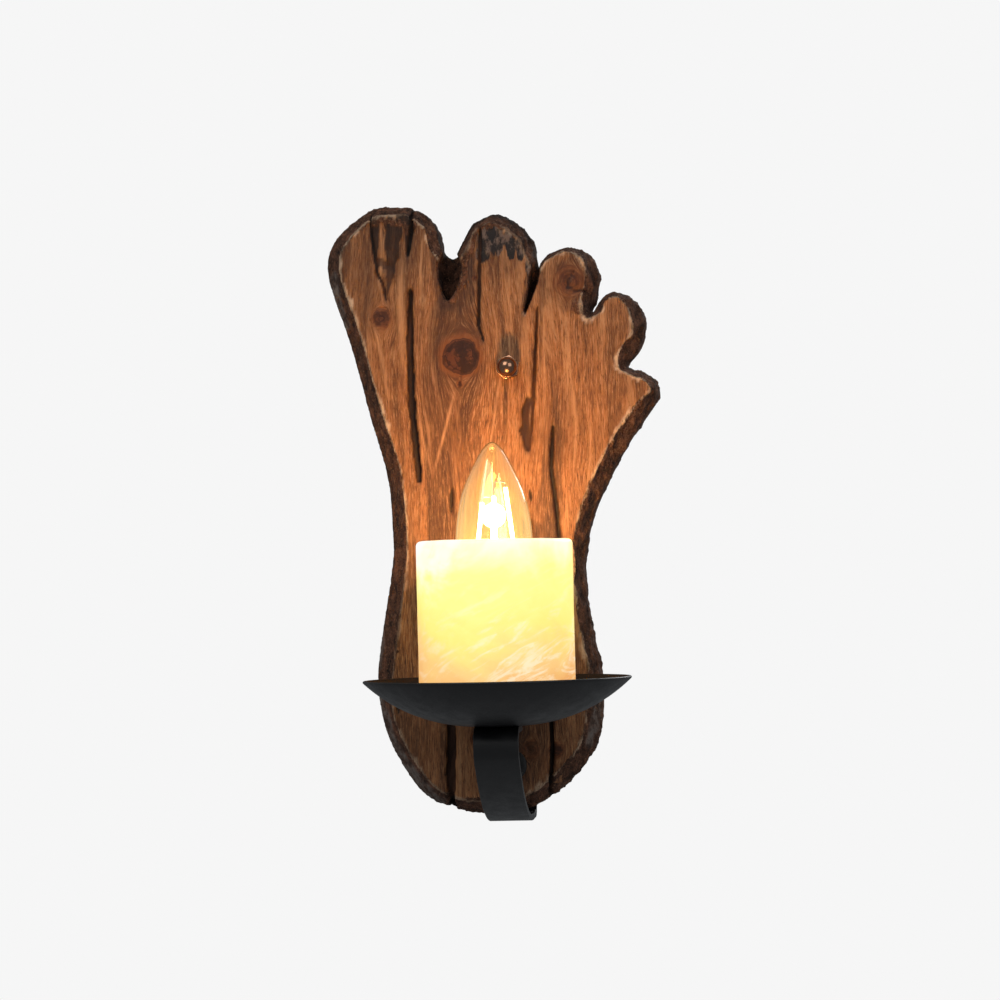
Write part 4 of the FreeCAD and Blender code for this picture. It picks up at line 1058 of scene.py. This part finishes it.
class LAMP_OT_stage(bpy.types.Operator):
    """Sets up the camera, the floor and the lights"""

    bl_idname = "lamp.stage"
    bl_label = "Stage"

    def execute(self, context):
        stage(context.scene.lamp_looks)
        return {"FINISHED"}


class LAMP_OT_board(bpy.types.Operator):
    """Carves the foot-shaped board"""

    bl_idname = "lamp.board"
    bl_label = "Board"

    def execute(self, context):
        carved_board(context.scene.lamp_looks, MADE)
        return {"FINISHED"}


class LAMP_OT_wall_fixings(bpy.types.Operator):
    """Finishes the wall bracket, its studs and their nuts"""

    bl_idname = "lamp.wall_fixings"
    bl_label = "Wall Fixings"

    def execute(self, context):
        finish_group(WALL_FIXINGS, MADE)
        return {"FINISHED"}


class LAMP_OT_arm(bpy.types.Operator):
    """Finishes the flat iron arm and its screws"""

    bl_idname = "lamp.arm"
    bl_label = "Arm"

    def execute(self, context):
        finish_group(ARM_PIECES, MADE)
        return {"FINISHED"}


class LAMP_OT_saucer(bpy.types.Operator):
    """Spins the iron saucer"""

    bl_idname = "lamp.saucer"
    bl_label = "Saucer"

    def execute(self, context):
        saucer(context.scene.lamp_looks, MADE)
        return {"FINISHED"}


class LAMP_OT_clamped_stack(bpy.types.Operator):
    """Finishes the nipple and what it clamps"""

    bl_idname = "lamp.clamped_stack"
    bl_label = "Nipple and Washers"

    def execute(self, context):
        finish_group(CLAMPED_STACK, MADE)
        return {"FINISHED"}


class LAMP_OT_cup(bpy.types.Operator):
    """Casts the candle cup"""

    bl_idname = "lamp.cup"
    bl_label = "Cup"

    def execute(self, context):
        cup(context.scene.lamp_looks, MADE)
        return {"FINISHED"}


class LAMP_OT_lampholder(bpy.types.Operator):
    """Finishes the ceramic lampholder and its metal parts"""

    bl_idname = "lamp.lampholder"
    bl_label = "Lampholder"

    def execute(self, context):
        finish_group(LAMPHOLDER, MADE)
        return {"FINISHED"}


class LAMP_OT_bulb_glass(bpy.types.Operator):
    """Blows the bulb's glass, which lets the light through"""

    bl_idname = "lamp.bulb_glass"
    bl_label = "Bulb Glass"

    def execute(self, context):
        envelope(MADE).visible_shadow = False
        return {"FINISHED"}


class LAMP_OT_bulb_inside(bpy.types.Operator):
    """Finishes the glowing rods, their wires and the glass stem"""

    bl_idname = "lamp.bulb_inside"
    bl_label = "Bulb Rods"

    def execute(self, context):
        finish_group(BULB_INSIDE, MADE, casts_shadow=False)
        return {"FINISHED"}


class LAMP_OT_bulb_cap(bpy.types.Operator):
    """Finishes the bulb's cap and its contact"""

    bl_idname = "lamp.bulb_cap"
    bl_label = "Bulb Cap"

    def execute(self, context):
        finish_group(BULB_CAP, MADE)
        return {"FINISHED"}


class LAMP_OT_leads(bpy.types.Operator):
    """Finishes the three leads and their grommet"""

    bl_idname = "lamp.leads"
    bl_label = "Leads"

    def execute(self, context):
        finish_group(LEADS, MADE)
        return {"FINISHED"}


class LAMP_OT_wall_terminals(bpy.types.Operator):
    """Finishes the terminal block in the board's pocket"""

    bl_idname = "lamp.wall_terminals"
    bl_label = "Terminal Block"

    def execute(self, context):
        finish_group(WALL_TERMINALS, MADE)
        return {"FINISHED"}


class LAMP_PT_panel(bpy.types.Panel):
    """Lists the lamp's sizes, colours and pieces"""

    bl_label = "Wall Lamp"
    bl_space_type = "VIEW_3D"
    bl_region_type = "UI"
    bl_category = "Wall Lamp"

    def draw(self, context):
        looks = context.scene.lamp_looks
        for name in LampLooks.__annotations__:
            self.layout.prop(looks, name)
        for operator in OPERATORS:
            self.layout.operator(operator.bl_idname)


OPERATORS = (
    LAMP_OT_stage, LAMP_OT_board, LAMP_OT_wall_fixings, LAMP_OT_arm, LAMP_OT_saucer, LAMP_OT_clamped_stack,
    LAMP_OT_cup, LAMP_OT_lampholder, LAMP_OT_bulb_glass, LAMP_OT_bulb_inside, LAMP_OT_bulb_cap,
    LAMP_OT_leads, LAMP_OT_wall_terminals)
CLASSES = (LampLooks, *OPERATORS, LAMP_PT_panel)


def register():
    """Adds the lamp's classes."""
    for cls in CLASSES:
        bpy.utils.register_class(cls)
    bpy.types.Scene.lamp_looks = PointerProperty(type=LampLooks)


def unregister():
    """Removes the lamp's classes."""
    del bpy.types.Scene.lamp_looks
    for cls in reversed(CLASSES):
        bpy.utils.unregister_class(cls)


def main():
    """Builds the whole lamp."""
    register()
    MADE.update(finishes(bpy.context.scene.lamp_looks))
    for operator in OPERATORS:
        group, name = operator.bl_idname.split(".")
        getattr(getattr(bpy.ops, group), name)()


if __name__ == "__main__":
    main()
